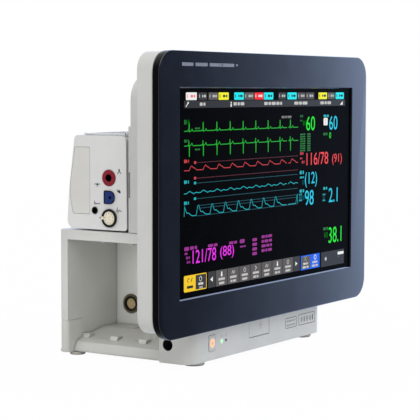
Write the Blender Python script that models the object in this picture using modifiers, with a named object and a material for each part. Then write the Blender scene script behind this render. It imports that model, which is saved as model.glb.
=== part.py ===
"""Bedside patient monitor: a wide display, a base with a plug-in bay, and a docked measurement module.

X runs to the right of someone who faces the screen, Y from the screen to the back, and Z up.
The origin is on the floor, under the middle of the monitor. Sizes here are in millimetres, and a
depth is measured from the front face of the display towards the back.
"""

import math

import bmesh
import bpy
from mathutils import Matrix, Vector

MM = 0.001
GAP = 0.3
X, Y, Z = 0, 1, 2

# Display
OVERALL_DEPTH = 182.0
DISPLAY_HALF = 213.0
DISPLAY_LOW, DISPLAY_HIGH = 39.7, 320.6
DISPLAY_RADIUS = 23.0
SCREEN_HALF = 177.0
SCREEN_LOW, SCREEN_HIGH = 77.6, 284.3
SCREEN_CHAMFER = 1.2
PLATE_BACK = 1.6
BAND_FRONT, BAND_BACK = PLATE_BACK + GAP, 8.3
BAND_WIDTH = 3.4
REBATE = 3.6
SHELL_HALF = 212.0
SHELL_FRONT, SHELL_BACK = BAND_BACK + GAP, 27.5
SHELL_LOW, SHELL_HIGH = 45.3, 319.5
SHELL_RADIUS = 18.0
WALL = 2.5
LAMP_LOW, LAMP_HIGH = 305.4, 309.4
LAMP_SPANS = ((-174.5, -153.8), (-150.9, -128.3), (-125.4, -78.7))

# Housing behind the display
HOUSING_HALF = 136.0
HOUSING_BACK = 89.5
HOUSING_HIGH = 297.0
HOUSING_RADIUS = 25.0

# Base with the plug-in bay
BASE_HALF = 136.5
BASE_FRONT = 15.2
BASE_WALL = 3.0
CHIN_BOTTOM, CHIN_TOP = 4.6, SHELL_LOW - GAP
CHIN_RADIUS, BACK_RADIUS = 14.0, 3.5
BLOCK_FRONT = SHELL_BACK + GAP
BLOCK_BACK = 53.6
SHELF_LOW, SHELF_HIGH = 124.8, 135.5
BAY_BACK = 171.5
BAY_END = -48.8
SKIRT_BOTTOM, TRAY_BOTTOM, TRAY_PLATE_TOP, FLOOR = 3.9, 6.7, 9.2, 24.5
FLOOR_EDGE_X = -75.0
SILL_TOP, SILL_EDGE, SILL_FOOT_X = (-113.7, 17.0), (-122.0, 14.4), -127.5
CORNER_TOP, CORNER_INSIDE = 38.0, -111.9
SLOT_PITCH = 37.2
SLOT_MIDDLE = 114.5
RIB_HALF, RIB_HIGH = 1.2, 1.0
SOCKET_Z = 47.9
COVER_DEPTH, COVER_Z = (70.3, 164.7), (20.3, 117.7)
INLET_X, INLET_Z = (78.0, 110.0), (40.0, 64.0)
NETWORK_X, NETWORK_Z = (10.0, 26.0), (40.0, 54.0)
STUD_X, STUD_Z = 60.0, 46.0

# Controls on the chin
BUTTON_MIDDLE, BUTTON_LOW, BUTTON_HIGH = -96.3, 14.0, 31.6
BUTTON_HALF = 6.8
LED_Z = 22.5
POWER_LED_X, STANDBY_LED_X = -77.6, -69.5
FLAP_LEFT, FLAP_RIGHT = -23.6, 18.3
FLAP_LOW, FLAP_HIGH = 18.0, 39.5
FLAP_THICK = 2.4
FLAP_AXIS = (BASE_FRONT + 1.2, FLAP_LOW + 2.0)
JACK_DEPTH, JACK_Z, JACK_RADIUS = 43.1, 23.8, 5.8

# Measurement module on its dock
MODULE_LEFT, MODULE_RIGHT = -135.5, 52.5
MODULE_LOW, MODULE_KNEE, MODULE_HIGH = 137.0, 178.0, 235.2
MODULE_FRONT = 94.6
MODULE_BACK_LOW, MODULE_BACK_KNEE, MODULE_BACK_HIGH = 172.8, 169.8, 162.3
BACK_PLATE_HIGH = 218.6
DOCK_HIGH = 245.0
DOCK_BACK = 92.5
RAIL_Z, RAIL_STEM, RAIL_HEAD = 180.0, 8.0, 16.0
DOOR_LOW, DOOR_HIGH = 152.9, 222.6
DOOR_FRONT = 142.5
DOOR_THICK = 2.9
DOOR_AXIS = (-134.8, 155.2)
HANDLE_AXIS = (99.5, 237.0)
HANDLE_LEFT, HANDLE_RIGHT, HANDLE_BACK = -131.0, 44.0, 157.0
HANDLE_LOW, HANDLE_HIGH, HANDLE_ARM = 235.6, 237.4, 6.5
TOWER_LEFT, TOWER_BACK = 56.0, 172.0
RELEASE_X, RELEASE_DEPTH, RELEASE_HALF = 80.0, 128.0, 9.6
SCREEN_X, SCREEN_Z = (-100.0, -14.0), (181.0, 229.0)
KEY_PLACES = {"module_key_left": -84.0, "module_key_middle": -57.0, "module_key_right": -30.0}
KEY_Z, KEY_HALF_WIDE, KEY_HALF_HIGH = 156.0, 8.0, 4.0
LUGS = ((-121.5, -118.0), (32.0, 35.5))
LUG_PINS = (-123.0, 37.0)
SCREEN_LEAN = math.degrees(math.atan2(MODULE_BACK_KNEE - MODULE_BACK_HIGH, MODULE_HIGH - MODULE_KNEE))
KEY_LEAN = math.degrees(math.atan2(MODULE_BACK_LOW - MODULE_BACK_KNEE, MODULE_KNEE - MODULE_LOW))

# Sockets on the module's end: (depth, z)
PRESSURE_AT, OXYGEN_AT = (117.5, 191.4), (116.5, 171.2)
ECG_AT, TEMPERATURE_AT = (116.8, 149.6), (135.7, 157.0)

# Feet: (x, depth, height, radius)
FEET = {
    "foot_front_left": (-104.5, 32.0, CHIN_BOTTOM - GAP, 11.0),
    "foot_front_right": (119.0, 32.5, CHIN_BOTTOM - GAP, 11.0),
    "foot_rear_left": (-118.0, 173.0, SKIRT_BOTTOM - GAP, 8.5),
    "foot_rear_right": (118.0, 162.0, TRAY_BOTTOM - GAP, 11.0),
}

# Steel plate under the base, and its screws
MOUNT_MIDDLE, MOUNT_PITCH, MOUNT_MARGIN = 119.0, 75.0, 9.0
MOUNT_LOW, MOUNT_HIGH = 3.0, 6.4
SCREW_HOLE, HEAD_HOLE = 2.4, 4.4


def clear_scene():
    for obj in list(bpy.data.objects):
        bpy.data.objects.remove(obj)


def new_collection(name):
    collection = bpy.data.collections.new(name)
    bpy.context.scene.collection.children.link(collection)
    return collection


def material(name, colour, roughness, metallic=0.0):
    made = bpy.data.materials.new(name)
    made.use_nodes = True
    shader = made.node_tree.nodes["Principled BSDF"]
    shader.inputs["Base Color"].default_value = (*colour, 1.0)
    shader.inputs["Roughness"].default_value = roughness
    shader.inputs["Metallic"].default_value = metallic
    return made


def place(x, depth, z):
    return Vector((x, depth - OVERALL_DEPTH / 2, z)) * MM


# Shapes, as bmeshes


def box(x, depth, z):
    """A box between two values on each axis."""
    shape = bmesh.new()
    bmesh.ops.create_cube(shape, size=1.0)
    low = place(x[0], depth[0], z[0])
    high = place(x[1], depth[1], z[1])
    for vert in shape.verts:
        vert.co = low + Vector((vert.co[i] + 0.5) * (high[i] - low[i]) for i in range(3))
    return shape


def round_edges(shape, axis, radius, steps=4, where=None):
    """Rounds the edges along an axis, or those of them whose middle passes a test in metres."""
    chosen = []
    for edge in shape.edges:
        run = edge.verts[1].co - edge.verts[0].co
        middle = (edge.verts[0].co + edge.verts[1].co) / 2
        if abs(run[axis]) > 0.999 * run.length and (where is None or where(middle)):
            chosen.append(edge)
    bmesh.ops.bevel(
        shape, geom=chosen, offset=radius * MM, segments=steps, profile=0.5, affect="EDGES"
    )
    return shape


def panel(half, depth, z, radius, steps=6):
    """An upright plate with four round corners, centred on x = 0."""
    return round_edges(box((-half, half), depth, z), Y, radius, steps)


def rod(middle, axis, radius, length, sides=20):
    """A round bar along an axis, centred on a point."""
    shape = bmesh.new()
    bmesh.ops.create_cone(
        shape, cap_ends=True, segments=sides, radius1=radius * MM, radius2=radius * MM,
        depth=length * MM,
    )
    turn = {
        X: Matrix.Rotation(math.pi / 2, 4, "Y"),
        Y: Matrix.Rotation(math.pi / 2, 4, "X"),
        Z: Matrix.Identity(4),
    }[axis]
    shape.transform(Matrix.Translation(place(*middle)) @ turn)
    return shape


def rounded(corners, steps=4):
    """The points of an outline given as (u, v, radius) corners."""
    points = []
    for i, (u, v, radius) in enumerate(corners):
        here = Vector((u, v))
        before = (Vector(corners[i - 1][:2]) - here).normalized()
        after = (Vector(corners[(i + 1) % len(corners)][:2]) - here).normalized()
        if radius == 0:
            points.append(here)
            continue
        half = before.angle(after) / 2
        middle = here + (before + after).normalized() * (radius / math.sin(half))
        start = here + before * (radius / math.tan(half)) - middle
        end = here + after * (radius / math.tan(half)) - middle
        for step in range(steps + 1):
            points.append(middle + start.slerp(end, step / steps).normalized() * radius)
    return points


def prism(points, axis, span):
    """An outline extruded along an axis: (depth, z) along X, (x, z) along Y or (x, depth) along Z."""
    curve = bpy.data.curves.new("outline", "CURVE")
    curve.dimensions = "2D"
    curve.fill_mode = "BOTH"
    curve.extrude = (span[1] - span[0]) / 2 * MM
    spline = curve.splines.new("POLY")
    spline.points.add(len(points) - 1)
    spline.use_cyclic_u = True
    for target, point in zip(spline.points, points):
        target.co = (point[0] * MM, point[1] * MM, 0.0, 1.0)
    holder = bpy.data.objects.new("outline", curve)
    PARTS.objects.link(holder)
    evaluated = holder.evaluated_get(bpy.context.evaluated_depsgraph_get())
    mesh = bpy.data.meshes.new_from_object(evaluated)
    shape = bmesh.new()
    shape.from_mesh(mesh)
    bmesh.ops.remove_doubles(shape, verts=shape.verts, dist=1e-6)
    bpy.data.objects.remove(holder)
    bpy.data.curves.remove(curve)
    bpy.data.meshes.remove(mesh)
    middle = (span[0] + span[1]) / 2
    columns = {X: (Y, Z, X), Y: (X, Z, Y), Z: (X, Y, Z)}[axis]
    turn = Matrix.Identity(4)
    for column, row in enumerate(columns):
        for i in range(3):
            turn[i][column] = float(i == row)
    offset = Vector((0.0, -OVERALL_DEPTH / 2 * MM, 0.0))
    offset[axis] += middle * MM
    shape.transform(Matrix.Translation(offset) @ turn)
    bmesh.ops.recalc_face_normals(shape, faces=shape.faces)
    return shape


def tilt(shape, middle, degrees):
    """Leans a shape about the X line through a point, with its top towards the front."""
    centre = place(*middle)
    turn = Matrix.Rotation(math.radians(degrees), 4, "X")
    shape.transform(Matrix.Translation(centre) @ turn @ Matrix.Translation(-centre))
    return shape


def chamfered_opening(half, low, high, depth, grow):
    """A cutter that narrows from its front to its back, for the sloped edge of an opening."""
    shape = box((-half, half), depth, (low, high))
    middle = (low + high) / 2 * MM
    front = place(0, depth[0], 0)[Y]
    for vert in shape.verts:
        if abs(vert.co[Y] - front) < 1e-6:
            vert.co[X] += math.copysign(grow * MM, vert.co[X])
            vert.co[Z] += math.copysign(grow * MM, vert.co[Z] - middle)
    return shape


# Objects


def add(name, shape, finish):
    mesh = bpy.data.meshes.new(name)
    shape.to_mesh(mesh)
    shape.free()
    mesh.materials.append(finish)
    mesh.shade_smooth()
    mesh.set_sharp_from_angle(angle=math.radians(35))
    obj = bpy.data.objects.new(name, mesh)
    PARTS.objects.link(obj)
    return obj


def soften(obj, width, steps=2):
    """Rounds the sharp edges of what the object is so far."""
    bevel = obj.modifiers.new("soften", "BEVEL")
    bevel.width = width * MM
    bevel.segments = steps
    bevel.limit_method = "ANGLE"
    bevel.angle_limit = math.radians(40)


def combine(obj, shape, operation):
    mesh = bpy.data.meshes.new(obj.name + "_helper")
    shape.to_mesh(mesh)
    shape.free()
    helper = bpy.data.objects.new(obj.name + "_helper", mesh)
    helper.hide_render = True
    helper.display_type = "WIRE"
    CUTTERS.objects.link(helper)
    boolean = obj.modifiers.new(operation.lower(), "BOOLEAN")
    boolean.operation = operation
    boolean.object = helper
    boolean.solver = "EXACT"


def cut(obj, shape):
    combine(obj, shape, "DIFFERENCE")


def fuse(obj, shape):
    combine(obj, shape, "UNION")


def set_origin(obj, point):
    """Moves an object's origin to a point, without moving its shape."""
    origin = place(*point)
    obj.data.transform(Matrix.Translation(-origin))
    obj.location = origin


def turned(name, profile, at, towards, finish, steps=24):
    """A solid of revolution from (radius, height) points, listed from its top down to its bottom."""
    mesh = bpy.data.meshes.new(name)
    edges = [(i, i + 1) for i in range(len(profile) - 1)]
    mesh.from_pydata([(radius * MM, 0.0, height * MM) for radius, height in profile], edges, [])
    mesh.materials.append(finish)
    obj = bpy.data.objects.new(name, mesh)
    PARTS.objects.link(obj)
    obj.location = place(*at)
    obj.rotation_mode = "QUATERNION"
    obj.rotation_quaternion = Vector((0.0, 0.0, 1.0)).rotation_difference(Vector(towards))
    screw = obj.modifiers.new("turn", "SCREW")
    screw.steps = steps
    screw.render_steps = steps
    screw.use_merge_vertices = True
    screw.merge_threshold = 1e-6
    screw.use_smooth_shade = True
    return obj


def tube(name, points, radius, finish):
    """A round cable through a list of (x, depth, z) points."""
    curve = bpy.data.curves.new(name, "CURVE")
    curve.dimensions = "3D"
    curve.bevel_depth = radius * MM
    curve.bevel_resolution = 2
    curve.use_fill_caps = True
    spline = curve.splines.new("POLY")
    spline.points.add(len(points) - 1)
    for target, point in zip(spline.points, points):
        target.co = (*place(*point), 1.0)
    curve.materials.append(finish)
    obj = bpy.data.objects.new(name, curve)
    PARTS.objects.link(obj)
    return obj


# Display


def make_front_bezel():
    bezel = add(
        "front_bezel",
        panel(DISPLAY_HALF, (0.0, PLATE_BACK), (DISPLAY_LOW, DISPLAY_HIGH), DISPLAY_RADIUS, 8),
        material("navy_paint", (0.016, 0.023, 0.045), 0.35),
    )
    soften(bezel, 0.6)
    inset = BAND_WIDTH + GAP
    frame_z = (DISPLAY_LOW + inset, DISPLAY_HIGH - inset)
    frame = panel(
        DISPLAY_HALF - inset, (PLATE_BACK / 2, BAND_BACK), frame_z, DISPLAY_RADIUS - inset, 8
    )
    fuse(bezel, frame)
    rebate_half = SCREEN_HALF + REBATE
    rebate_z = (SCREEN_LOW - REBATE, SCREEN_HIGH + REBATE)
    cut(bezel, box((-rebate_half, rebate_half), (PLATE_BACK, BAND_BACK + 2), rebate_z))
    screen_z = (SCREEN_LOW, SCREEN_HIGH)
    cut(bezel, box((-SCREEN_HALF, SCREEN_HALF), (-1.0, PLATE_BACK + 1), screen_z))
    cut(bezel, chamfered_opening(SCREEN_HALF, *screen_z, (-0.1, SCREEN_CHAMFER), SCREEN_CHAMFER))
    first, last = LAMP_SPANS[0][0], LAMP_SPANS[-1][1]
    pocket_z = (LAMP_LOW - 3, LAMP_HIGH + 3)
    cut(bezel, box((first - 3, last + 3), (PLATE_BACK, BAND_BACK + 2), pocket_z))
    for left, right in LAMP_SPANS:
        cut(bezel, box((left, right), (-1.0, PLATE_BACK + 1), (LAMP_LOW, LAMP_HIGH)))


def make_trim_band():
    band = add(
        "trim_band",
        panel(DISPLAY_HALF, (BAND_FRONT, BAND_BACK), (DISPLAY_LOW, DISPLAY_HIGH), DISPLAY_RADIUS, 8),
        material("gloss_black", (0.004, 0.004, 0.006), 0.15),
    )
    soften(band, 0.6)
    inner_z = (DISPLAY_LOW + BAND_WIDTH, DISPLAY_HIGH - BAND_WIDTH)
    inner = panel(
        DISPLAY_HALF - BAND_WIDTH, (0.0, BAND_BACK + 2), inner_z, DISPLAY_RADIUS - BAND_WIDTH, 8
    )
    cut(band, inner)


def make_screen_stack():
    half = SCREEN_HALF + REBATE - GAP
    low, high = SCREEN_LOW - REBATE + GAP, SCREEN_HIGH + REBATE - GAP
    add(
        "touch_glass",
        box((-half, half), (PLATE_BACK + GAP, 3.7), (low, high)),
        material("screen_glass", (0.002, 0.002, 0.002), 0.08),
    )
    panel_box = box((-half + 3, half - 3), (4.0, 14.0), (low + 2, high - 2))
    lcd = add("lcd_panel", panel_box, material("lcd_frame", (0.35, 0.35, 0.36), 0.4, 0.9))
    soften(lcd, 0.8, 1)
    chassis = add(
        "panel_chassis",
        panel(195.0, (14.3, 15.8), (60.0, 305.0), 6.0, 2),
        material("chassis_steel", (0.5, 0.5, 0.5), 0.35, 1.0),
    )
    for side in (-1, 1):
        cut(chassis, box((side * 90 - 30, side * 90 + 30), (13.0, 17.0), (80.0, 130.0)))


def make_alarm_lamps():
    first, last = LAMP_SPANS[0][0], LAMP_SPANS[-1][1]
    guide = add(
        "alarm_light_guide",
        box((first - 2, last + 2), (2.2, 4.6), (LAMP_LOW - 2, LAMP_HIGH + 2)),
        material("lamp_lens", (0.33, 0.34, 0.38), 0.3),
    )
    for left, right in LAMP_SPANS:
        window = box((left + GAP, right - GAP), (0.2, 3.0), (LAMP_LOW + GAP, LAMP_HIGH - GAP))
        fuse(guide, window)
    add(
        "alarm_board",
        box((first - 2, last + 2), (5.0, 6.6), (LAMP_LOW - 2.5, LAMP_HIGH + 2.5)),
        BOARD,
    )


def make_display_shell():
    shell = add(
        "display_shell",
        panel(SHELL_HALF, (SHELL_FRONT, SHELL_BACK), (SHELL_LOW, SHELL_HIGH), SHELL_RADIUS, 6),
        LIGHT_GREY,
    )
    soften(shell, 1.6)
    inner_z = (SHELL_LOW + WALL, SHELL_HIGH - WALL)
    inner_radius = SHELL_RADIUS - WALL
    cut(shell, panel(SHELL_HALF - WALL, (0.0, SHELL_BACK - WALL), inner_z, inner_radius, 6))
    cut(shell, box((-120.0, 120.0), (20.0, 30.0), (150.0, 280.0)))


# Housing behind the display


def make_rear_housing():
    low = SHELF_HIGH + GAP
    outer = box((-HOUSING_HALF, HOUSING_HALF), (SHELL_BACK + GAP, HOUSING_BACK), (low, HOUSING_HIGH))
    round_edges(outer, Y, HOUSING_RADIUS, 7, lambda middle: middle.z > 0.2)
    housing = add("rear_housing", outer, LIGHT_GREY)
    inner_half = HOUSING_HALF - WALL
    inner = box(
        (-inner_half, inner_half), (0.0, HOUSING_BACK - WALL), (low + WALL, HOUSING_HIGH - WALL)
    )
    round_edges(inner, Y, HOUSING_RADIUS - WALL, 7, lambda middle: middle.z > 0.2)
    cut(housing, inner)
    for i in range(14):
        x = -91.0 + 14.0 * i
        cut(housing, box((x - 2, x + 2), (80.0, 95.0), (255.0, 283.0)))


def make_electronics():
    add("main_board", box((-110.0, 110.0), (72.0, 73.6), (150.0, 280.0)), BOARD)
    fin_pitch, fin_count, left = 10.0, 9, -60.0
    outline = [(left, 74.0)]
    for i in range(fin_count):
        x = left + fin_pitch * i
        outline += [(x, 85.5), (x + 2.5, 85.5)]
        if i < fin_count - 1:
            outline += [(x + 2.5, 77.0), (x + fin_pitch, 77.0)]
    outline.append((left + fin_pitch * (fin_count - 1) + 2.5, 74.0))
    aluminium = material("heatsink_aluminium", (0.75, 0.76, 0.77), 0.35, 1.0)
    add("heatsink", prism(outline, Z, (190.0, 250.0)), aluminium)
    cable_path = ((70.0, 16.5, 230.0), (70.0, 45.0, 230.0), (70.0, 58.0, 215.0), (70.0, 71.5, 215.0))
    tube("display_cable", cable_path, 2.5, material("cable_black", (0.02, 0.02, 0.02), 0.6))
    supply = add(
        "power_supply",
        box((-20.0, 125.0), (70.0, 150.0), (14.0, 58.0)),
        material("supply_cage", (0.6, 0.6, 0.62), 0.35, 1.0),
    )
    soften(supply, 1.5, 1)
    add("interface_board", box((-28.0, 52.0), (168.0, 169.6), (32.0, 114.0)), BOARD)
    add("rack_backplane", box((-37.6, -36.0), (62.0, 168.0), (28.0, 118.0)), BOARD)
    cone = ((19.0, 0.0), (19.0, -2.5), (17.0, -9.0), (12.0, -9.0), (12.0, -15.0), (0.0, -15.0))
    rim = ((0.0, -6.0), (6.0, -6.0), (16.0, 0.0))
    speaker_finish = material("speaker_paper", (0.03, 0.03, 0.03), 0.7)
    turned("speaker", rim + cone, (132.5, 100.0, 85.0), (1, 0, 0), speaker_finish)


# Base


def base_outline(depth, z):
    """The base's footprint as a block: wide curves at the front corners and tighter ones behind."""
    shape = box((-BASE_HALF, BASE_HALF), depth, z)
    round_edges(shape, Z, CHIN_RADIUS, 6, lambda middle: middle.y < 0)
    round_edges(shape, Z, BACK_RADIUS, 4, lambda middle: middle.y > 0.08)
    return shape


def make_base_housing():
    wall = BASE_WALL
    inside = BASE_HALF - wall
    block = base_outline((BASE_FRONT, OVERALL_DEPTH), (CHIN_BOTTOM, SHELF_HIGH))
    base = add("base_housing", block, WARM_GREY)
    soften(base, 1.5)
    cut(base, box((-200.0, 200.0), (0.0, BLOCK_FRONT), (CHIN_TOP, 150.0)))
    cut(base, box((-200.0, 200.0), (BLOCK_BACK, 200.0), (0.0, TRAY_PLATE_TOP + GAP)))
    cut(base, box((-200.0, BAY_END), (BLOCK_BACK, BAY_BACK), (0.0, SHELF_LOW)))
    cut(base, box((-200.0, CORNER_INSIDE), (BAY_BACK - 1, 200.0), (0.0, CORNER_TOP + GAP)))
    inner_front = (BLOCK_FRONT + wall, BLOCK_BACK - wall)
    chin_depth = (BASE_FRONT + wall, BLOCK_BACK - wall)
    chin_space = box((-inside, inside), chin_depth, (CHIN_BOTTOM + wall, CHIN_TOP - wall))
    cut(base, round_edges(chin_space, Z, CHIN_RADIUS - wall, 6, lambda middle: middle.y < -0.05))
    ceiling = SHELF_HIGH - 3.5
    cut(base, box((-inside, inside), inner_front, (CHIN_BOTTOM + wall, ceiling)))
    compartment = (BLOCK_BACK - 2 * wall, OVERALL_DEPTH - wall)
    cut(base, box((BAY_END + wall, inside), compartment, (TRAY_PLATE_TOP, ceiling)))
    cover_depth = (COVER_DEPTH[0] - GAP, COVER_DEPTH[1] + GAP)
    cut(base, box((130.0, 140.0), cover_depth, (COVER_Z[0] - GAP, COVER_Z[1] + GAP)))
    cut(base, box((-30.0, 120.0), (175.0, 190.0), (30.0, 115.0)))
    add_chin_openings(base)
    for depth in slot_depths():
        cut(base, rod((BAY_END, depth, SOCKET_Z), X, 8.4, 12.0))
    rib_z = (SHELF_LOW - 2.5, SHELF_LOW + 1)
    for step in (-0.5, 0.5):
        middle = SLOT_MIDDLE + step * SLOT_PITCH
        fuse(base, box((-125.0, BAY_END - 6), (middle - RIB_HALF, middle + RIB_HALF), rib_z))


def add_chin_openings(base):
    through = (BASE_FRONT - 5, BASE_FRONT + 4)
    left, right = BUTTON_MIDDLE - BUTTON_HALF, BUTTON_MIDDLE + BUTTON_HALF
    cut(base, round_edges(box((left, right), through, (BUTTON_LOW, BUTTON_HIGH)), Y, 2.0, 3))
    cut(base, box((FLAP_LEFT, FLAP_RIGHT), through, (FLAP_LOW, FLAP_HIGH)))
    for x in (POWER_LED_X, STANDBY_LED_X):
        cut(base, rod((x, BASE_FRONT, LED_Z), Y, 1.6, 12.0, 12))
    cut(base, rod((-BASE_HALF, JACK_DEPTH, JACK_Z), X, JACK_RADIUS + GAP, 12.0))


def slot_depths():
    """The depths of the three slots' middles, front to rear."""
    return [SLOT_MIDDLE + SLOT_PITCH * step for step in (-1, 0, 1)]


def make_base_tray():
    """The bay's sloping floor and sill, the plate under the compartment and the rear corner post."""
    front, side, inner = BLOCK_BACK + GAP, BAY_END - GAP, CORNER_INSIDE - GAP
    sill = (
        (inner, SKIRT_BOTTOM, 0), (SILL_FOOT_X, SKIRT_BOTTOM, 2.0), (*SILL_EDGE, 4.0),
        (*SILL_TOP, 3.0), (inner, SILL_TOP[1] + 0.3, 0),
    )
    tray = add("base_tray", prism(rounded(sill), Y, (front, BAY_BACK + 2)), WARM_GREY)
    slope = (
        (-113.2, 17.05), (-95.0, 20.6), (FLOOR_EDGE_X, FLOOR), (side, FLOOR),
        (side, TRAY_BOTTOM), (-113.2, TRAY_BOTTOM),
    )
    fuse(tray, prism([Vector(point) for point in slope], Y, (front, BAY_BACK - GAP)))
    plate = box((-60.0, BASE_HALF), (front, OVERALL_DEPTH), (TRAY_BOTTOM, TRAY_PLATE_TOP))
    round_edges(plate, Z, BACK_RADIUS, 4, lambda middle: middle.y > 0.08 and middle.x > 0)
    fuse(tray, plate)
    strip_z = (TRAY_BOTTOM + 0.2, TRAY_PLATE_TOP - 0.2)
    fuse(tray, box((-120.0, -50.0), (BAY_BACK - 10, OVERALL_DEPTH - 1), strip_z))
    fuse(tray, corner_post())
    cut(tray, box((-92.0, -70.0), (66.0, 152.0), (0.0, 18.0)))
    for step in (-0.5, 0.5):
        middle = SLOT_MIDDLE + step * SLOT_PITCH
        rib_z = (FLOOR - 1, FLOOR + RIB_HIGH)
        fuse(tray, box((-72.0, BAY_END - 6), (middle - RIB_HALF, middle + RIB_HALF), rib_z))
    for step in (-1.5, -0.5, 0.5, 1.5):
        fuse(tray, guide_nose(SLOT_MIDDLE + step * SLOT_PITCH))
    for x, depth in mount_points():
        cut(tray, rod((x, depth, TRAY_BOTTOM), Z, SCREW_HOLE, 16.0, 12))


def corner_post():
    """The post that carries the rear wall's lower left corner down to the skirt."""
    outline = rounded(
        (
            (BAY_BACK, SKIRT_BOTTOM, 0), (OVERALL_DEPTH, SKIRT_BOTTOM, 4.0),
            (OVERALL_DEPTH, CORNER_TOP, 0), (BAY_BACK, CORNER_TOP, 0),
        )
    )
    post = prism(outline, X, (-BASE_HALF, CORNER_INSIDE - GAP))
    return round_edges(post, Z, BACK_RADIUS, 4, lambda middle: middle.y > 0.08 and middle.x < -0.13)


def guide_nose(depth):
    """A small wedge on the sill, at the edge of a slot, that leads a plug-in module in."""
    half, low, high = 4.6, SILL_TOP[1] - 1.5, SILL_TOP[1] + 4.2
    outline = ((-113.4, low), (-102.0, low), (-102.0, high), (-110.4, high))
    middle = depth - 3.5
    span = (max(middle - half, BLOCK_BACK + 2 * GAP), min(middle + half, BAY_BACK - GAP))
    return prism([Vector(point) for point in outline], Y, span)


def make_feet():
    rubber = material("foot_rubber", (0.42, 0.4, 0.36), 0.7)
    for name, (x, depth, height, wide) in FEET.items():
        rim = wide - 0.7
        profile = (
            (0.0, 0.0), (rim, 0.0), (wide, -0.6), (wide, 0.8 - height), (rim, -height), (0.0, -height)
        )
        turned(name, profile, (x, depth, height), (0, 0, 1), rubber)


def make_rack_sockets():
    ring = material("socket_ring", (0.25, 0.22, 0.16), 0.4, 0.6)
    profile = (
        (0.0, -3.0), (6.2, -3.0), (6.2, 0.4), (7.6, 0.4), (7.9, 1.2), (10.5, 1.2), (10.9, 0.8),
        (10.9, GAP), (8.0, GAP), (8.0, -10.5), (0.0, -10.5),
    )
    for name, depth in zip(("front", "middle", "rear"), slot_depths()):
        turned("rack_socket_" + name, profile, (BAY_END, depth, SOCKET_Z), (-1, 0, 0), ring)


def make_base_fittings():
    cover = add("side_cover", box((134.0, BASE_HALF), COVER_DEPTH, COVER_Z), WARM_GREY)
    soften(cover, 0.5, 1)
    for i in range(7):
        z = 70.0 + 5.0 * i
        cut(cover, box((130.0, 140.0), (85.0, 115.0), (z - 1, z + 1)))
    make_connectors()
    dome = ((0.0, 1.4), (3.2, 1.1), (5.0, 0.3), (JACK_RADIUS, -1.2), (JACK_RADIUS, -9.0), (0.0, -9.0))
    turned("remote_jack", dome, (-BASE_HALF, JACK_DEPTH, JACK_Z), (-1, 0, 0), BLACK_PLASTIC)
    front = BASE_FRONT + 5.2
    socket = add("service_socket", box((-9.5, 5.5), (front, front + 17.5), (23.0, 31.0)), BLACK_PLASTIC)
    cut(socket, box((-8.0, 4.0), (front - 6, front + 11.5), (24.5, 29.5)))
    lens = ((0.0, 0.3), (1.0, 0.1), (1.3, -0.3), (1.3, -5.0), (0.0, -5.0))
    for name, x, colour in (
        ("power_led", POWER_LED_X, (0.05, 0.8, 0.2)),
        ("standby_led", STANDBY_LED_X, (0.03, 0.03, 0.03)),
    ):
        at = (x, BASE_FRONT, LED_Z)
        turned(name, lens, at, (0, -1, 0), material(name, colour, 0.2), 12)


def make_connectors():
    """The rear connector panel with its mains inlet, network jack and earth stud."""
    plate = add(
        "connector_panel",
        box((-34.0, 124.0), (176.8, 178.4), (26.0, 119.0)),
        material("panel_steel", (0.55, 0.56, 0.57), 0.3, 1.0),
    )
    through = (170.0, 182.0)
    for name, x, z, inner, wall in (
        ("ac_inlet", INLET_X, INLET_Z, 160.0, 4.0),
        ("network_jack", NETWORK_X, NETWORK_Z, 170.0, 2.0),
    ):
        cut(plate, box((x[0] - GAP, x[1] + GAP), through, (z[0] - GAP, z[1] + GAP)))
        socket = add(name, box(x, (inner, 181.0), z), BLACK_PLASTIC)
        opening = box((x[0] + wall, x[1] - wall), (inner + 6, 190.0), (z[0] + wall, z[1] - wall))
        cut(socket, opening)
    cut(plate, rod((STUD_X, 178.0, STUD_Z), Y, 3.3, 12.0, 16))
    brass = material("stud_brass", (0.6, 0.45, 0.2), 0.3, 1.0)
    stud = ((0.0, 0.0), (2.4, 0.0), (3.0, -0.6), (3.0, -10.0), (0.0, -10.0))
    turned("ground_stud", stud, (STUD_X, 181.4, STUD_Z), (0, 1, 0), brass, 16)


def mount_points():
    """(x, depth) of the mounting screws."""
    half = MOUNT_PITCH / 2
    return [(x, MOUNT_MIDDLE + y) for x in (-half, half) for y in (-half, half)]


def make_mounting_plate():
    half = MOUNT_PITCH / 2 + MOUNT_MARGIN
    steel = material("mount_steel", (0.45, 0.45, 0.46), 0.4, 1.0)
    depth = (MOUNT_MIDDLE - half, MOUNT_MIDDLE + half)
    shape = round_edges(box((-half, half), depth, (MOUNT_LOW, MOUNT_HIGH)), Z, 5.0, 3)
    plate = add("mounting_plate", shape, steel)
    head_low, head_high = GAP, 2.1
    profile = (
        (0.0, 8.9), (2.0, 8.9), (2.0, head_high), (4.0, head_high), (4.0, head_low + 0.3),
        (3.7, head_low), (1.6, head_low), (1.4, head_low + 0.9), (0.0, head_low + 0.9),
    )
    for i, (x, depth) in enumerate(mount_points(), start=1):
        cut(plate, rod((x, depth, MOUNT_LOW), Z, SCREW_HOLE, 12.0, 12))
        cut(plate, rod((x, depth, MOUNT_LOW), Z, HEAD_HOLE, 2 * (head_high + GAP), 12))
        turned(f"plate_screw_{i}", profile, (x, depth, MOUNT_LOW), (0, 0, 1), steel, 12)


# Controls


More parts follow.
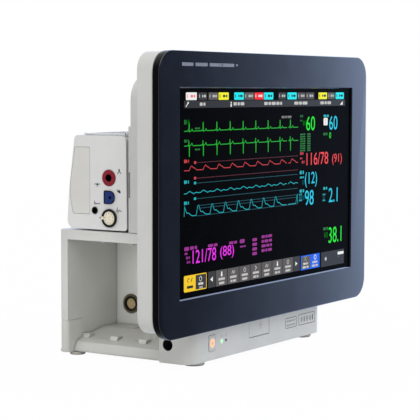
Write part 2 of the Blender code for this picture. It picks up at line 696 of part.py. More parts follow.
def make_power_button():
    z = (BUTTON_LOW + GAP, BUTTON_HIGH - GAP)
    half = BUTTON_HALF - GAP
    x = (BUTTON_MIDDLE - half, BUTTON_MIDDLE + half)
    back = BASE_FRONT + BASE_WALL + 1.2
    shape = round_edges(box(x, (BASE_FRONT - 0.4, back), z), Y, 1.7, 3)
    button = add("power_button", shape, WARM_GREY)
    set_origin(button, (BUTTON_MIDDLE, BASE_FRONT, (BUTTON_LOW + BUTTON_HIGH) / 2))
    soften(button, 0.4)
    fuse(button, box((x[0] - 1, x[1] + 1), (back - 0.6, back + 0.9), (z[0] - 1, z[1] + 1)))


def make_front_flap():
    x = (FLAP_LEFT + 0.4, FLAP_RIGHT - 0.4)
    shape = box(x, (BASE_FRONT, BASE_FRONT + FLAP_THICK), (FLAP_LOW + 0.5, FLAP_HIGH - 0.4))
    flap = add("front_flap", shape, WARM_GREY)
    set_origin(flap, (FLAP_LEFT, *FLAP_AXIS))
    soften(flap, 0.5)


# Dock and measurement module


def make_dock():
    low = SHELF_HIGH + GAP
    tower_x = (TOWER_LEFT, HOUSING_HALF)
    depth = (HOUSING_BACK + GAP, TOWER_BACK)
    tower_box = box(tower_x, depth, (low, DOCK_HIGH))
    round_edges(tower_box, X, 10.0, 4, lambda middle: middle.y > 0.05 and middle.z > 0.2)
    tower = add("dock_tower", tower_box, LIGHT_GREY)
    soften(tower, 1.5)
    inner_x = (TOWER_LEFT + WALL, HOUSING_HALF - WALL)
    cut(tower, box(inner_x, (80.0, TOWER_BACK - WALL), (low + WALL, DOCK_HIGH - WALL)))
    cut(tower, release_block(RELEASE_HALF + 0.4, (DOCK_HIGH - 15, DOCK_HIGH + 5)))
    bracket = add(
        "dock_bracket",
        box((-135.5, TOWER_LEFT - GAP), (HOUSING_BACK + GAP, DOCK_BACK), (low, DOCK_HIGH)),
        LIGHT_GREY,
    )
    head, stem = RAIL_HEAD / 2, RAIL_STEM / 2
    rail_x = (-124.0, 52.0)
    fuse(bracket, box(rail_x, (DOCK_BACK - 1, 97.5), (RAIL_Z - stem, RAIL_Z + stem)))
    fuse(bracket, box(rail_x, (97.5 - 0.2, 100.0), (RAIL_Z - head, RAIL_Z + head)))
    add("dock_connector", box((46.0, TOWER_LEFT - GAP), (120.0, 150.0), (150.0, 174.0)), BLACK_PLASTIC)


def release_block(half, z):
    """A square block on the release button's axis."""
    x = (RELEASE_X - half, RELEASE_X + half)
    return box(x, (RELEASE_DEPTH - half, RELEASE_DEPTH + half), z)


def make_release_button():
    shape = release_block(RELEASE_HALF, (DOCK_HIGH - 7, DOCK_HIGH + 2.6))
    button = add("dock_release_button", shape, BLUE_GREY)
    set_origin(button, (RELEASE_X, RELEASE_DEPTH, DOCK_HIGH))
    soften(button, 0.8)


def module_outline():
    return rounded(
        (
            (MODULE_FRONT, MODULE_LOW, 3.5),
            (MODULE_BACK_LOW, MODULE_LOW, 8.5),
            (MODULE_BACK_KNEE, MODULE_KNEE, 60.0),
            (MODULE_BACK_HIGH, MODULE_HIGH, 5.0),
            (MODULE_FRONT + 1.2, MODULE_HIGH, 6.5),
        )
    )


def door_outline(grow):
    """The battery door seen from the end: square at the front, with a bowed edge behind."""
    low, high = DOOR_LOW - grow, DOOR_HIGH + grow
    bow = [(164.3 + grow, low), (168.0 + grow, 170.0), (167.8 + grow, 188.0), (161.6 + grow, high)]
    corners = [(DOOR_FRONT - grow, high, 1.5), (DOOR_FRONT - grow, low, 1.5)]
    corners += [(u, v, 1.5 if v in (low, high) else 40.0) for u, v in bow]
    return rounded(corners, 3)


def make_module_case():
    case = add("module_case", prism(module_outline(), X, (MODULE_LEFT, MODULE_RIGHT)), MODULE_GREY)
    soften(case, 2.2)
    wall = WALL
    inner = rounded(
        (
            (90.0, MODULE_LOW + wall, 0),
            (MODULE_BACK_LOW - wall, MODULE_LOW + wall, 6.0),
            (MODULE_BACK_KNEE - wall, MODULE_KNEE, 0),
            (MODULE_BACK_HIGH - wall, MODULE_HIGH - wall, 3.0),
            (MODULE_FRONT + 1.2 + wall, MODULE_HIGH - wall, 4.0),
            (MODULE_FRONT + 1.2 + wall, BACK_PLATE_HIGH + GAP, 0),
            (90.0, BACK_PLATE_HIGH + GAP, 0),
        )
    )
    cut(case, prism(inner, X, (MODULE_LEFT + wall, MODULE_RIGHT - wall)))
    cut(case, prism(door_outline(GAP), X, (MODULE_LEFT - 2, MODULE_LEFT + wall + 1)))
    cut(case, box((45.0, 60.0), (90.0, 100.6), (RAIL_Z - 8.6, RAIL_Z + 8.6)))
    cut(case, box((45.0, 60.0), (119.5, 150.5), (149.5, 174.5)))
    for at, radius in ((PRESSURE_AT, 6.4), (OXYGEN_AT, 5.4), (ECG_AT, 7.4), (TEMPERATURE_AT, 3.9)):
        cut(case, rod((MODULE_LEFT, *at), X, radius, 12.0))
    cut(case, screen_block(GAP, 6.0))
    for x in KEY_PLACES.values():
        cut(case, key_block(x, GAP, 6.0))
    add_handle_lugs(case)


def face_depth(z):
    """The depth of the module's rear face at a height."""
    if z > MODULE_KNEE:
        share = (z - MODULE_KNEE) / (MODULE_HIGH - MODULE_KNEE)
        return MODULE_BACK_KNEE + share * (MODULE_BACK_HIGH - MODULE_BACK_KNEE)
    share = (z - MODULE_LOW) / (MODULE_KNEE - MODULE_LOW)
    return MODULE_BACK_LOW + share * (MODULE_BACK_KNEE - MODULE_BACK_LOW)


def screen_block(grow, out):
    """The module's screen, or a larger cutter for its opening, leaning with the rear face."""
    middle = (SCREEN_Z[0] + SCREEN_Z[1]) / 2
    depth = face_depth(middle)
    x = (SCREEN_X[0] - grow, SCREEN_X[1] + grow)
    z = (SCREEN_Z[0] - grow, SCREEN_Z[1] + grow)
    return tilt(box(x, (depth - 2.2 - out, depth - 0.5 + out), z), (0, depth, middle), SCREEN_LEAN)


def key_block(x, grow, out):
    """One of the module's keys, or a larger cutter for its opening."""
    depth = face_depth(KEY_Z)
    reach = (depth - 4.0 - out, depth + 0.9 + out)
    half_wide, half_high = KEY_HALF_WIDE + grow, KEY_HALF_HIGH + grow
    shape = box((x - half_wide, x + half_wide), reach, (KEY_Z - half_high, KEY_Z + half_high))
    round_edges(shape, Y, 2.0 + grow, 3)
    return tilt(shape, (0, depth, KEY_Z), KEY_LEAN)


def add_handle_lugs(case):
    """Two lugs with stub pins, on which the carry handle folds."""
    depth, z = HANDLE_AXIS
    for span in LUGS:
        fuse(case, box(span, (depth - 2.5, depth + 2.5), (MODULE_HIGH - 6, z + 1.6)))
    for middle in LUG_PINS:
        fuse(case, rod((middle, depth, z), X, 0.8, 6.0, 8))


def make_module_insides():
    inset = WALL + GAP
    plate_x = (MODULE_LEFT + inset, MODULE_RIGHT - inset)
    plate = box(plate_x, (MODULE_FRONT + 0.4, 97.0), (MODULE_LOW + WALL + 0.5, BACK_PLATE_HIGH))
    back = add("module_back_plate", plate, MODULE_GREY)
    slot_half = RAIL_STEM / 2 + 0.6
    cut(back, box((-126.0, 60.0), (90.0, 99.0), (RAIL_Z - slot_half, RAIL_Z + slot_half)))
    add("module_board", box((-70.0, 42.0), (103.0, 104.6), (141.0, 230.0)), BOARD)
    pump_finish = material("pump_steel", (0.6, 0.6, 0.6), 0.3, 1.0)
    pump = add("cuff_pump", rod((-10.0, 135.0, 215.0), X, 12.0, 50.0), pump_finish)
    soften(pump, 1.0, 1)
    battery_finish = material("battery_wrap", (0.12, 0.13, 0.16), 0.5)
    cells = box((-130.8, -72.0), (144.5, 157.5), (156.0, 218.0))
    battery = add("module_battery", cells, battery_finish)
    soften(battery, 1.5, 1)
    add("module_screen", screen_block(0.0, 0.0), material("module_glass", (0.01, 0.01, 0.012), 0.1))
    for name, x in KEY_PLACES.items():
        key = add(name, key_block(x, 0.0, 0.0), BLUE_GREY)
        set_origin(key, (x, face_depth(KEY_Z), KEY_Z))


def make_module_sockets():
    left = (-1, 0, 0)
    crimson = material("pressure_socket_red", (0.26, 0.01, 0.03), 0.4)
    cuff = (
        (0.0, -8.0), (3.4, -8.0), (3.4, 0.4), (4.2, 0.9), (8.2, 0.7), (8.75, GAP),
        (6.1, GAP), (6.1, -12.0), (0.0, -12.0),
    )
    turned("pressure_socket", cuff, (MODULE_LEFT, *PRESSURE_AT), left, crimson)
    blue = material("oxygen_socket_blue", (0.01, 0.06, 0.35), 0.4)
    depth, z = OXYGEN_AT
    front, back, low, high = depth - 6.7, depth + 7.3, z - 7.0, z + 7.0
    outline = rounded(((front, low, 6.5), (back, low, 1.5), (back, high, 1.5), (front, high, 6.5)))
    oxygen = add("oxygen_socket", prism(outline, X, (MODULE_LEFT - 0.9, MODULE_LEFT - GAP)), blue)
    fuse(oxygen, rod((MODULE_LEFT + 4, depth, z), X, 5.0, 10.0))
    black = material("ecg_socket_black", (0.01, 0.01, 0.01), 0.4)
    cup = (
        (0.0, 0.9), (7.5, 0.9), (7.5, 2.0), (9.2, 2.0), (9.6, 1.5), (9.6, GAP),
        (7.0, GAP), (7.0, -10.0), (0.0, -10.0),
    )
    turned("ecg_socket", cup, (MODULE_LEFT, *ECG_AT), left, black)
    small = (
        (0.0, -5.7), (2.6, -5.7), (2.6, 0.5), (4.1, 0.5), (4.1, 0.4), (3.6, 0.4),
        (3.6, -7.7), (0.0, -7.7),
    )
    turned("temperature_socket", small, (MODULE_LEFT, *TEMPERATURE_AT), left, black)


def make_battery_door():
    door_x = (MODULE_LEFT, MODULE_LEFT + DOOR_THICK)
    door = add("battery_door", prism(door_outline(0.0), X, door_x), DOOR_GREY)
    set_origin(door, (DOOR_AXIS[0], DOOR_FRONT, DOOR_AXIS[1]))
    soften(door, 0.5)


def make_module_handle():
    """A flat bail that turns on the case's stub pins."""
    depth, z = HANDLE_AXIS
    left, right, back, arm = HANDLE_LEFT, HANDLE_RIGHT, HANDLE_BACK, HANDLE_ARM
    outline = rounded(
        (
            (left, depth, 0), (left, back, 8), (right, back, 8), (right, depth, 0),
            (right - arm, depth, 0), (right - arm, back - arm, 4), (left + arm, back - arm, 4),
            (left + arm, depth, 0),
        )
    )
    handle = add("module_handle", prism(outline, Z, (HANDLE_LOW, HANDLE_HIGH)), MODULE_GREY)
    set_origin(handle, ((left + right) / 2, depth, z))
    for middle in (left + arm / 2, right - arm / 2):
        fuse(handle, rod((middle, depth, z), X, 1.5, arm, 12))
        cut(handle, rod((middle, depth, z), X, 1.0, arm + 4, 8))


def group_module():
    """Parents everything that leaves the dock with the module to one empty at its outer end."""
    empty = bpy.data.objects.new("measurement_module", None)
    empty.location = place(MODULE_LEFT, MODULE_FRONT, MODULE_LOW)
    PARTS.objects.link(empty)
    others = (
        "pressure_socket", "oxygen_socket", "ecg_socket", "temperature_socket", "battery_door",
        "cuff_pump",
    )
    for obj in list(PARTS.objects):
        if obj.type == "MESH" and (obj.name.startswith("module_") or obj.name in others):
            obj.parent = empty
            obj.matrix_parent_inverse = Matrix.Translation(-empty.location)


clear_scene()
PARTS = new_collection("patient_monitor")
CUTTERS = new_collection("cutters")
LIGHT_GREY = material("housing_grey", (0.58, 0.58, 0.56), 0.45)
WARM_GREY = material("base_grey", (0.53, 0.53, 0.5), 0.45)
MODULE_GREY = material("module_grey", (0.64, 0.64, 0.64), 0.4)
DOOR_GREY = material("door_grey", (0.6, 0.59, 0.57), 0.4)
BLUE_GREY = material("key_grey", (0.3, 0.34, 0.4), 0.45)
BLACK_PLASTIC = material("black_plastic", (0.012, 0.012, 0.012), 0.4)
BOARD = material("circuit_board", (0.02, 0.15, 0.06), 0.5)

make_front_bezel()
make_trim_band()
make_screen_stack()
make_alarm_lamps()
make_display_shell()
make_rear_housing()
make_electronics()
make_base_housing()
make_base_tray()
make_feet()
make_rack_sockets()
make_base_fittings()
make_mounting_plate()
make_power_button()
make_front_flap()
make_dock()
make_release_button()
make_module_case()
make_module_insides()
make_module_sockets()
make_battery_door()
make_module_handle()
group_module()
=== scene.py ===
"""Looks for the patient monitor: finishes, screen graphics, markings, connectors, studio and camera.

Sizes in the functions are in millimetres: x to the right, depth from the display's front face to the
back, z up from the floor. at() turns them into the frame's metres.
"""

import math

import bmesh
import bpy
from mathutils import Matrix, Vector


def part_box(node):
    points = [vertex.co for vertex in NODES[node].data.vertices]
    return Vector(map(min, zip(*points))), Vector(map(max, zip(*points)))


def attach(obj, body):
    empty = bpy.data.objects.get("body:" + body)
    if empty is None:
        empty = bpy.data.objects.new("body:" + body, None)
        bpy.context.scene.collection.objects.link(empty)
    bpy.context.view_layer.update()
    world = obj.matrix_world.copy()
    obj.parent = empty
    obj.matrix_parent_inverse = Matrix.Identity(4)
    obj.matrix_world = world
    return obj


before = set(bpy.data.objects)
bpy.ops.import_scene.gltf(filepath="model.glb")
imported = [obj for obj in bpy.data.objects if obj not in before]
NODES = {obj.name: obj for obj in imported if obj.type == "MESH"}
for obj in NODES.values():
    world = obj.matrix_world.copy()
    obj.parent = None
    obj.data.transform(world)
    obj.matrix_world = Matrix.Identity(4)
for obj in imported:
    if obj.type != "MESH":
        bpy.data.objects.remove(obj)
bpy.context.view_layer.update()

MM = 0.001
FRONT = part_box("front_bezel")[0].y / MM
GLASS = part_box("touch_glass")[0].y / MM - FRONT
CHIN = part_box("base_housing")[0].y / MM - FRONT
MODULE_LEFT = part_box("module_case")[0].x / MM
BAY_END = -48.8  # x of the plug-in bay's end wall
GOLDEN = 0.61803  # its multiples spread the bars of small print unevenly
LEFT, RIGHT, BACK, NEARER = (-1, 0, 0), (1, 0, 0), (0, 1, 0), (0, -1, 0)
ON_FACE = 0.02  # how far marks stand off the surface that they are printed on
SHARP_ANGLE = math.radians(33)
SCREW_RADIUS = 2.8
SCREEN_LEAN, KEY_LEAN = 7.47, 4.18  # degrees that the module's screen and keys lean forward
STRIP_DEPTH = 91.4


def at(x, depth, z):
    return Vector((x, FRONT + depth, z)) * MM


def show(name, data):
    obj = bpy.data.objects.new(name, data)
    bpy.context.scene.collection.objects.link(obj)
    return obj


def middle(name, x=None):
    """The middle of a CAD node's box, or the point level with it at another x."""
    low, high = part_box(name)
    centre = (low + high) / 2
    if x is not None:
        centre.x = x * MM
    return centre


def srgb(red, green, blue):
    """A linear colour from 0-255 screen values."""

    def linear(value):
        value /= 255
        return value / 12.92 if value <= 0.04045 else ((value + 0.055) / 1.055) ** 2.4

    return (linear(red), linear(green), linear(blue), 1.0)


# Materials


def set_inputs(tree, made, inputs):
    """Sets or links a node's inputs, by name or number."""
    for key, value in inputs.items():
        if isinstance(value, bpy.types.NodeSocket):
            tree.links.new(value, made.inputs[key])
        else:
            made.inputs[key].default_value = value


def node(tree, kind, inputs=None, **settings):
    """Adds a shader node; inputs are values, or sockets to link."""
    made = tree.nodes.new("ShaderNode" + kind)
    for key, value in settings.items():
        setattr(made, key, value)
    set_inputs(tree, made, inputs or {})
    return made


def start_material(name):
    made = bpy.data.materials.new(name)
    made.use_nodes = True
    tree = made.node_tree
    return made, tree, tree.nodes["Principled BSDF"]


def noise(tree, scale, detail=2.0, roughness=0.5):
    where = node(tree, "TexCoord").outputs["Object"]
    return node(
        tree, "TexNoise", {"Vector": where, "Scale": scale, "Detail": detail, "Roughness": roughness}
    ).outputs["Fac"]


def ramp(tree, value, low, high, to_low, to_high):
    return node(
        tree,
        "MapRange",
        {"Value": value, "From Min": low, "From Max": high, "To Min": to_low, "To Max": to_high},
    ).outputs["Result"]


def blend_colours(tree, factor, first, second):
    return node(tree, "Mix", {0: factor, 6: first, 7: second}, data_type="RGBA").outputs[2]


def shade(colour, share):
    return (*[channel * share for channel in colour[:3]], 1.0)


def tones(tree, amount, colour, dark, light, low=0.3, high=0.7):
    """A colour that runs between a darker and a lighter share of itself."""
    factor = ramp(tree, amount, low, high, 0.0, 1.0)
    return blend_colours(tree, factor, shade(colour, dark), shade(colour, light))


def dot_product(tree, first, second):
    return node(tree, "VectorMath", {0: first, 1: second}, operation="DOT_PRODUCT").outputs["Value"]


def plastic(name, colour, roughness=0.42, grain=0.1, gloss=0.5, edge=0.35):
    """Moulded plastic: spark-eroded grain, faint mottling, painted shade in the seams, and edges lightened as
    wear and as a painted highlight.
    """
    made, tree, bsdf = start_material(name)
    base = tones(tree, noise(tree, 22.0, 4.0), colour, 0.965, 1.03)
    # Painted shade: the colour darkens where ambient occlusion finds seams and crevices.
    seams = node(tree, "AmbientOcclusion", {"Distance": 0.004}, samples=4).outputs["AO"]
    painted_seam_shade = ramp(tree, seams, 0.35, 0.9, 1.0, 0.0)
    base = blend_colours(tree, painted_seam_shade, base, shade(colour, 0.6))
    round_normal = node(tree, "Bevel", {"Radius": edge * MM}, samples=4).outputs["Normal"]
    flat_normal = node(tree, "NewGeometry").outputs["Normal"]
    # Lighter along rounded edges: wear, and a painted highlight.
    wear_and_highlight = ramp(tree, dot_product(tree, round_normal, flat_normal), 0.8, 0.995, 0.5, 0.0)
    base = blend_colours(tree, wear_and_highlight, base, shade(colour, 1.12))
    patchy = ramp(tree, noise(tree, 60.0, 3.0), 0.3, 0.7, roughness - 0.05, roughness + 0.06)
    pits = noise(tree, 2400.0, 2.0, 0.7)
    bump = node(
        tree, "Bump", {"Strength": grain, "Distance": 0.00008, "Height": pits, "Normal": round_normal}
    ).outputs["Normal"]
    look = {"Base Color": base, "Roughness": patchy, "Specular IOR Level": gloss, "Normal": bump}
    set_inputs(tree, bsdf, look)
    return made


def gloss_black(name, colour, roughness, ior, smudge=0.06):
    """Lacquer or glass: deep colour under a clear reflection, with faint wiping smudges."""
    made, tree, bsdf = start_material(name)
    wipes = noise(tree, 35.0, 5.0, 0.65)
    smears = ramp(tree, wipes, 0.35, 0.75, roughness, roughness + smudge)
    base = tones(tree, wipes, colour, 0.9, 1.1)
    set_inputs(tree, bsdf, {"Base Color": base, "Roughness": smears, "IOR": ior})
    return made


def metal(name, colour, roughness=0.3, brushed=(1.0, 1.0, 1.0)):
    """Metal with fine brushing along the axis whose value in brushed is small."""
    made, tree, bsdf = start_material(name)
    where = node(tree, "TexCoord").outputs["Object"]
    stretched = node(tree, "Mapping", {"Vector": where, "Scale": brushed}).outputs["Vector"]
    lines = node(tree, "TexNoise", {"Vector": stretched, "Scale": 1500.0, "Detail": 3.0}).outputs["Fac"]
    base = tones(tree, noise(tree, 90.0, 3.0), colour, 0.82, 1.0)
    rough = ramp(tree, lines, 0.3, 0.7, roughness - 0.08, roughness + 0.1)
    bump = node(tree, "Bump", {"Strength": 0.25, "Distance": 0.00003, "Height": lines}).outputs["Normal"]
    set_inputs(tree, bsdf, {"Base Color": base, "Roughness": rough, "Metallic": 1.0, "Normal": bump})
    return made


def glowing(name, colour, strength=1.0, surface=0.004):
    """A lit mark or lamp, with fine rows across it that are a little dimmer."""
    made, tree, bsdf = start_material(name)
    where = node(tree, "TexCoord").outputs["Object"]
    rows = node(
        tree, "TexWave", {"Vector": where, "Scale": 200.0}, bands_direction="Z", wave_profile="SIN"
    ).outputs["Fac"]
    lit = blend_colours(tree, rows, shade(colour, 0.88), colour)
    look = {"Base Color": (surface, surface, surface, 1.0), "Roughness": 0.35, "IOR": 1.2}
    set_inputs(tree, bsdf, look | {"Emission Color": lit, "Emission Strength": strength})
    return made


def printed(name, colour, roughness=0.5):
    """Screen-printed ink: slightly uneven cover."""
    made, tree, bsdf = start_material(name)
    cover = noise(tree, 900.0, 3.0)
    base = tones(tree, cover, colour, 0.9, 1.06, 0.35, 0.65)
    set_inputs(tree, bsdf, {"Base Color": base, "Roughness": roughness})
    return made


def circuit_board(name):
    """Green solder mask over brick-like copper pours."""
    made, tree, bsdf = start_material(name)
    where = node(tree, "TexCoord").outputs["Object"]
    flat = node(tree, "Mapping", {"Vector": where, "Rotation": (math.pi / 2, 0.0, 0.0)}).outputs["Vector"]
    traces = node(
        tree,
        "TexBrick",
        {
            "Vector": flat, "Color1": srgb(16, 92, 52), "Color2": srgb(22, 110, 60),
            "Mortar": srgb(8, 60, 34), "Scale": 90.0, "Mortar Size": 0.06,
        },
    ).outputs["Color"]
    rough = ramp(tree, noise(tree, 400.0), 0.3, 0.7, 0.3, 0.45)
    set_inputs(tree, bsdf, {"Base Color": traces, "Roughness": rough})
    return made


def rubber(name, colour):
    return plastic(name, colour, roughness=0.75, grain=0.5, gloss=0.25, edge=0.3)


LIGHT_GREY = plastic("shell_plastic", srgb(200, 199, 195))
WARM_GREY = plastic("base_plastic", srgb(203, 203, 198), roughness=0.38)
BAY_GREY = plastic("tray_plastic", srgb(203, 203, 197), roughness=0.32, edge=0.0)
MODULE_GREY = plastic("module_plastic", srgb(219, 218, 216), roughness=0.4)
DOOR_GREY = plastic("door_plastic", srgb(213, 211, 205), roughness=0.45)
KEY_BLUE = plastic("key_plastic", srgb(128, 142, 160), roughness=0.4)
HANDLE_GREY = plastic("handle_plastic", srgb(235, 236, 238), roughness=0.4)
MODULE_SHADE = plastic("module_shade", srgb(196, 194, 192), roughness=0.45)
DARK_PLASTIC = plastic("dark_plastic", srgb(30, 30, 32), roughness=0.35, grain=0.15)
CABLE_BLACK = rubber("cable_sheath", srgb(24, 24, 26))
BEZEL = gloss_black("bezel_lacquer", srgb(16, 20, 30), 0.09, 1.7, smudge=0.04)
BAND_BLACK = gloss_black("band_lacquer", srgb(4, 4, 6), 0.12, 1.24)
GLASS_BLACK = gloss_black("screen_glass", srgb(3, 3, 3), 0.25, 1.05, smudge=0.1)
SMALL_GLASS = gloss_black("small_screen_glass", srgb(10, 12, 14), 0.1, 1.45)
LAMP_GREY = plastic("lamp_lens", srgb(118, 122, 134), roughness=0.3, grain=0.03)
STEEL = metal("brushed_steel", srgb(190, 192, 196), 0.32, (0.03, 1.0, 1.0))
SCREW_STEEL = metal("screw_steel", srgb(170, 172, 176), 0.28)
ALUMINIUM = metal("cast_aluminium", srgb(205, 207, 210), 0.38)
BRASS = metal("turned_brass", srgb(206, 170, 96), 0.25)
GOLD = metal("gold_contact", srgb(230, 186, 96), 0.22)
CHAMPAGNE = metal("socket_metal", srgb(150, 138, 112), 0.34)
BOARD = circuit_board("board_mask")
BATTERY_BLUE = plastic("battery_wrap", srgb(52, 62, 82), roughness=0.35)
PAPER_BLACK = rubber("speaker_paper", srgb(28, 28, 29))
FOOT_RUBBER = rubber("foot_rubber", srgb(205, 201, 191))
CRIMSON = plastic("crimson_plastic", srgb(138, 18, 38), roughness=0.3, grain=0.05)
BLUE = plastic("blue_plastic", srgb(12, 44, 112), roughness=0.3, grain=0.05)
CREAM = plastic("cream_plastic", srgb(240, 230, 204), roughness=0.35, grain=0.05)
SAND = plastic("sand_plastic", srgb(178, 160, 116), roughness=0.4, grain=0.1)
# Contact metal darkened to stand for the pin holes it sits in: painted shade.
SHADED_CONTACT_METAL = metal("painted_shade_contacts", srgb(120, 108, 74), 0.4)
# Near-black that stands for the shade inside holes, bores and recesses: painted shade.
HOLLOW_SHADE_BLACK = plastic("painted_hollow_shade", srgb(2, 2, 2), roughness=0.8, grain=0.05, gloss=0.1)
SOCKET_BLACK = plastic("socket_black", srgb(20, 20, 22), roughness=0.4, grain=0.05, gloss=0.3)
LED_GREEN = glowing("led_green", srgb(150, 250, 180), 2.2)
LED_DARK = gloss_black("led_dark", srgb(16, 18, 20), 0.15, 1.5)

# Printed inks, each with its screen colour and roughness
PRINTED = {
    "grey_ink": ((120, 122, 124),),
    "pale_ink": ((158, 160, 160),),
    "dark_ink": ((40, 42, 46),),
    "silver_label": ((196, 198, 200), 0.3),
    "white_ink": ((236, 236, 236),),
    "black_ink": ((14, 14, 15),),
    "lamp_ink": ((150, 156, 174),),
    "olive_ink": ((112, 110, 98),),
    "faint_ink": ((186, 184, 176),),
}
# Lit marks, each with its screen colour, strength and unlit surface
LIT = {
    "orange_glow": ((255, 170, 80), 1.7),
    "orange_halo": ((236, 176, 140), 0.75, 0.5),
    "green_halo": ((170, 226, 178), 0.6, 0.5),
    "white_lit": ((244, 244, 240),),
    "grey_lit": ((196, 194, 190),),
    "dim_lit": ((120, 118, 112),),
    "cell_dark": ((52, 49, 47),),
    "cell_bar": ((40, 39, 36),),
    "cell_grey": ((88, 83, 79),),
    "cell_mid": ((72, 68, 65),),
    "yellow_lit": ((250, 245, 10),),
    "amber_lit": ((250, 205, 10),),
    "cyan_lit": ((0, 238, 244),),
    "cyan_text": ((20, 205, 235),),
    "cyan_line": ((20, 176, 186),),
    "cyan_dim": ((10, 78, 84),),
    "red_lit": ((250, 16, 20),),
    "red_text": ((246, 64, 64),),
    "red_line": ((206, 56, 60),),
    "red_dim": ((92, 24, 28),),
    "green_lit": ((10, 240, 20),),
    "green_line": ((16, 176, 26),),
    "green_dim": ((12, 110, 22),),
    "magenta_lit": ((238, 44, 238),),
    "magenta_dim": ((150, 36, 140),),
    "blue_lit": ((0, 98, 240),),
    "black_lit": ((30, 30, 24),),
    "pink_lit": ((246, 120, 124),),
}
INKS = {
    name: make(name, srgb(*colour), *rest)
    for table, make in ((PRINTED, printed), (LIT, glowing))
    for name, (colour, *rest) in table.items()
}

FINISHES = {
    BEZEL: "front_bezel",
    BAND_BLACK: "trim_band",
    GLASS_BLACK: "touch_glass",
    STEEL: "panel_chassis power_supply mounting_plate connector_panel",
    ALUMINIUM: "lcd_panel heatsink",
    LAMP_GREY: "alarm_light_guide",
    BOARD: "alarm_board main_board interface_board rack_backplane module_board",
    LIGHT_GREY: "display_shell rear_housing dock_tower dock_bracket dock_release_button",
    WARM_GREY: "base_housing side_cover power_button front_flap",
    BAY_GREY: "base_tray",
    FOOT_RUBBER: "foot_front_left foot_front_right foot_rear_left foot_rear_right",
    CABLE_BLACK: "display_cable",
    PAPER_BLACK: "speaker",
    CHAMPAGNE: "rack_socket_front rack_socket_middle rack_socket_rear",
    DARK_PLASTIC: "ac_inlet network_jack service_socket dock_connector",
    SOCKET_BLACK: "ecg_socket oxygen_socket",
    # The remote jack's opening is near-black: painted shade.
    HOLLOW_SHADE_BLACK: "remote_jack",
    MODULE_SHADE: "temperature_socket",
    BRASS: "ground_stud",
    LED_GREEN: "power_led",
    LED_DARK: "standby_led",
    SCREW_STEEL: "plate_screw_1 plate_screw_2 plate_screw_3 plate_screw_4 cuff_pump",
    MODULE_GREY: "module_case module_back_plate",
    BATTERY_BLUE: "module_battery",
    SMALL_GLASS: "module_screen",
    CRIMSON: "pressure_socket",
    KEY_BLUE: "module_key_left module_key_middle module_key_right",
    DOOR_GREY: "battery_door",
    HANDLE_GREY: "module_handle",
}


def smoothing_group():
    """Geometry nodes that join a CAD node's split corners and shade it smooth up to its sharp edges."""
    group = bpy.data.node_groups.new("smooth_by_angle", "GeometryNodeTree")
    for direction in ("INPUT", "OUTPUT"):
        group.interface.new_socket("Geometry", in_out=direction, socket_type="NodeSocketGeometry")
    nodes, link = group.nodes, group.links.new
    start, end = nodes.new("NodeGroupInput"), nodes.new("NodeGroupOutput")
    merge = nodes.new("GeometryNodeMergeByDistance")
    merge.inputs["Distance"].default_value = 2e-6
    faces = nodes.new("GeometryNodeSetShadeSmooth")
    edges = nodes.new("GeometryNodeSetShadeSmooth")
    edges.domain = "EDGE"
    edges.inputs["Shade Smooth"].default_value = False
    angle = nodes.new("GeometryNodeInputMeshEdgeAngle")
    sharp = nodes.new("FunctionNodeCompare")
    sharp.operation = "GREATER_THAN"
    sharp.inputs["B"].default_value = SHARP_ANGLE
    link(angle.outputs["Unsigned Angle"], sharp.inputs["A"])
    link(sharp.outputs["Result"], edges.inputs["Selection"])
    link(start.outputs[0], merge.inputs["Geometry"])
    link(merge.outputs["Geometry"], faces.inputs["Geometry"])
    link(faces.outputs["Geometry"], edges.inputs["Geometry"])
    link(edges.outputs["Geometry"], end.inputs[0])
    return group


def finish_cad_nodes():
    group = smoothing_group()
    for finish, names in FINISHES.items():
        for name in names.split():
            obj = NODES[name]
            obj.data.materials.clear()
            obj.data.materials.append(finish)
            normals = obj.data.attributes.get("custom_normal")
            if normals:
                obj.data.attributes.remove(normals)
            if name == "base_tray":
                obj.data.shade_flat()
                continue
            obj.modifiers.new("smooth", "NODES").node_group = group
            flat = obj.modifiers.new("flat_faces", "WEIGHTED_NORMAL")
            flat.keep_sharp = True
            flat.weight = 100


# Shapes


def as_mesh(name, shape):
    mesh = bpy.data.meshes.new(name)
    shape.to_mesh(mesh)
    shape.free()
    return mesh


def add_piece(name, shape, finish, body, smooth=None):
    """A bmesh becomes a piece with a finish, riding on a body."""
    bmesh.ops.recalc_face_normals(shape, faces=shape.faces)
    mesh = as_mesh(name, shape)
    mesh.materials.append(finish)
    obj = show(name, mesh)
    if smooth is not None:
        mesh.shade_smooth()
        mesh.set_sharp_from_angle(angle=math.radians(smooth))
    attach(obj, body)
    return obj


def facing_matrix(centre, axis):
    """Moves a shape made around the origin along +Z to a centre, facing an axis."""
    turn = Vector(axis).to_track_quat("Z", "Y").to_matrix().to_4x4()
    return Matrix.Translation(centre) @ turn


def lathe(profile, steps=48):
    """A turned shape about Z from (radius, height) pairs, closed where they start and end on the axis."""
    shape = bmesh.new()
    rings = []
    for radius, height in profile:
        if radius < 1e-6:
            rings.append([shape.verts.new((0, 0, height * MM))])
            continue
        turns = (2 * math.pi * i / steps for i in range(steps))
        points = [Vector((math.cos(a) * radius, math.sin(a) * radius, height)) * MM for a in turns]
        rings.append([shape.verts.new(point) for point in points])
    for first, second in zip(rings, rings[1:]):
        for i in range(steps):
            j = (i + 1) % steps
            if len(first) == 1:
                shape.faces.new((first[0], second[i], second[j]))
            elif len(second) == 1:
                shape.faces.new((first[i], first[j], second[0]))
            else:
                shape.faces.new((first[i], first[j], second[j], second[i]))
    return shape


def turned(name, profile, centre, axis, finish, body, steps=48):
    shape = lathe(profile, steps)
    shape.transform(facing_matrix(centre, axis))
    return add_piece(name, shape, finish, body, smooth=35)


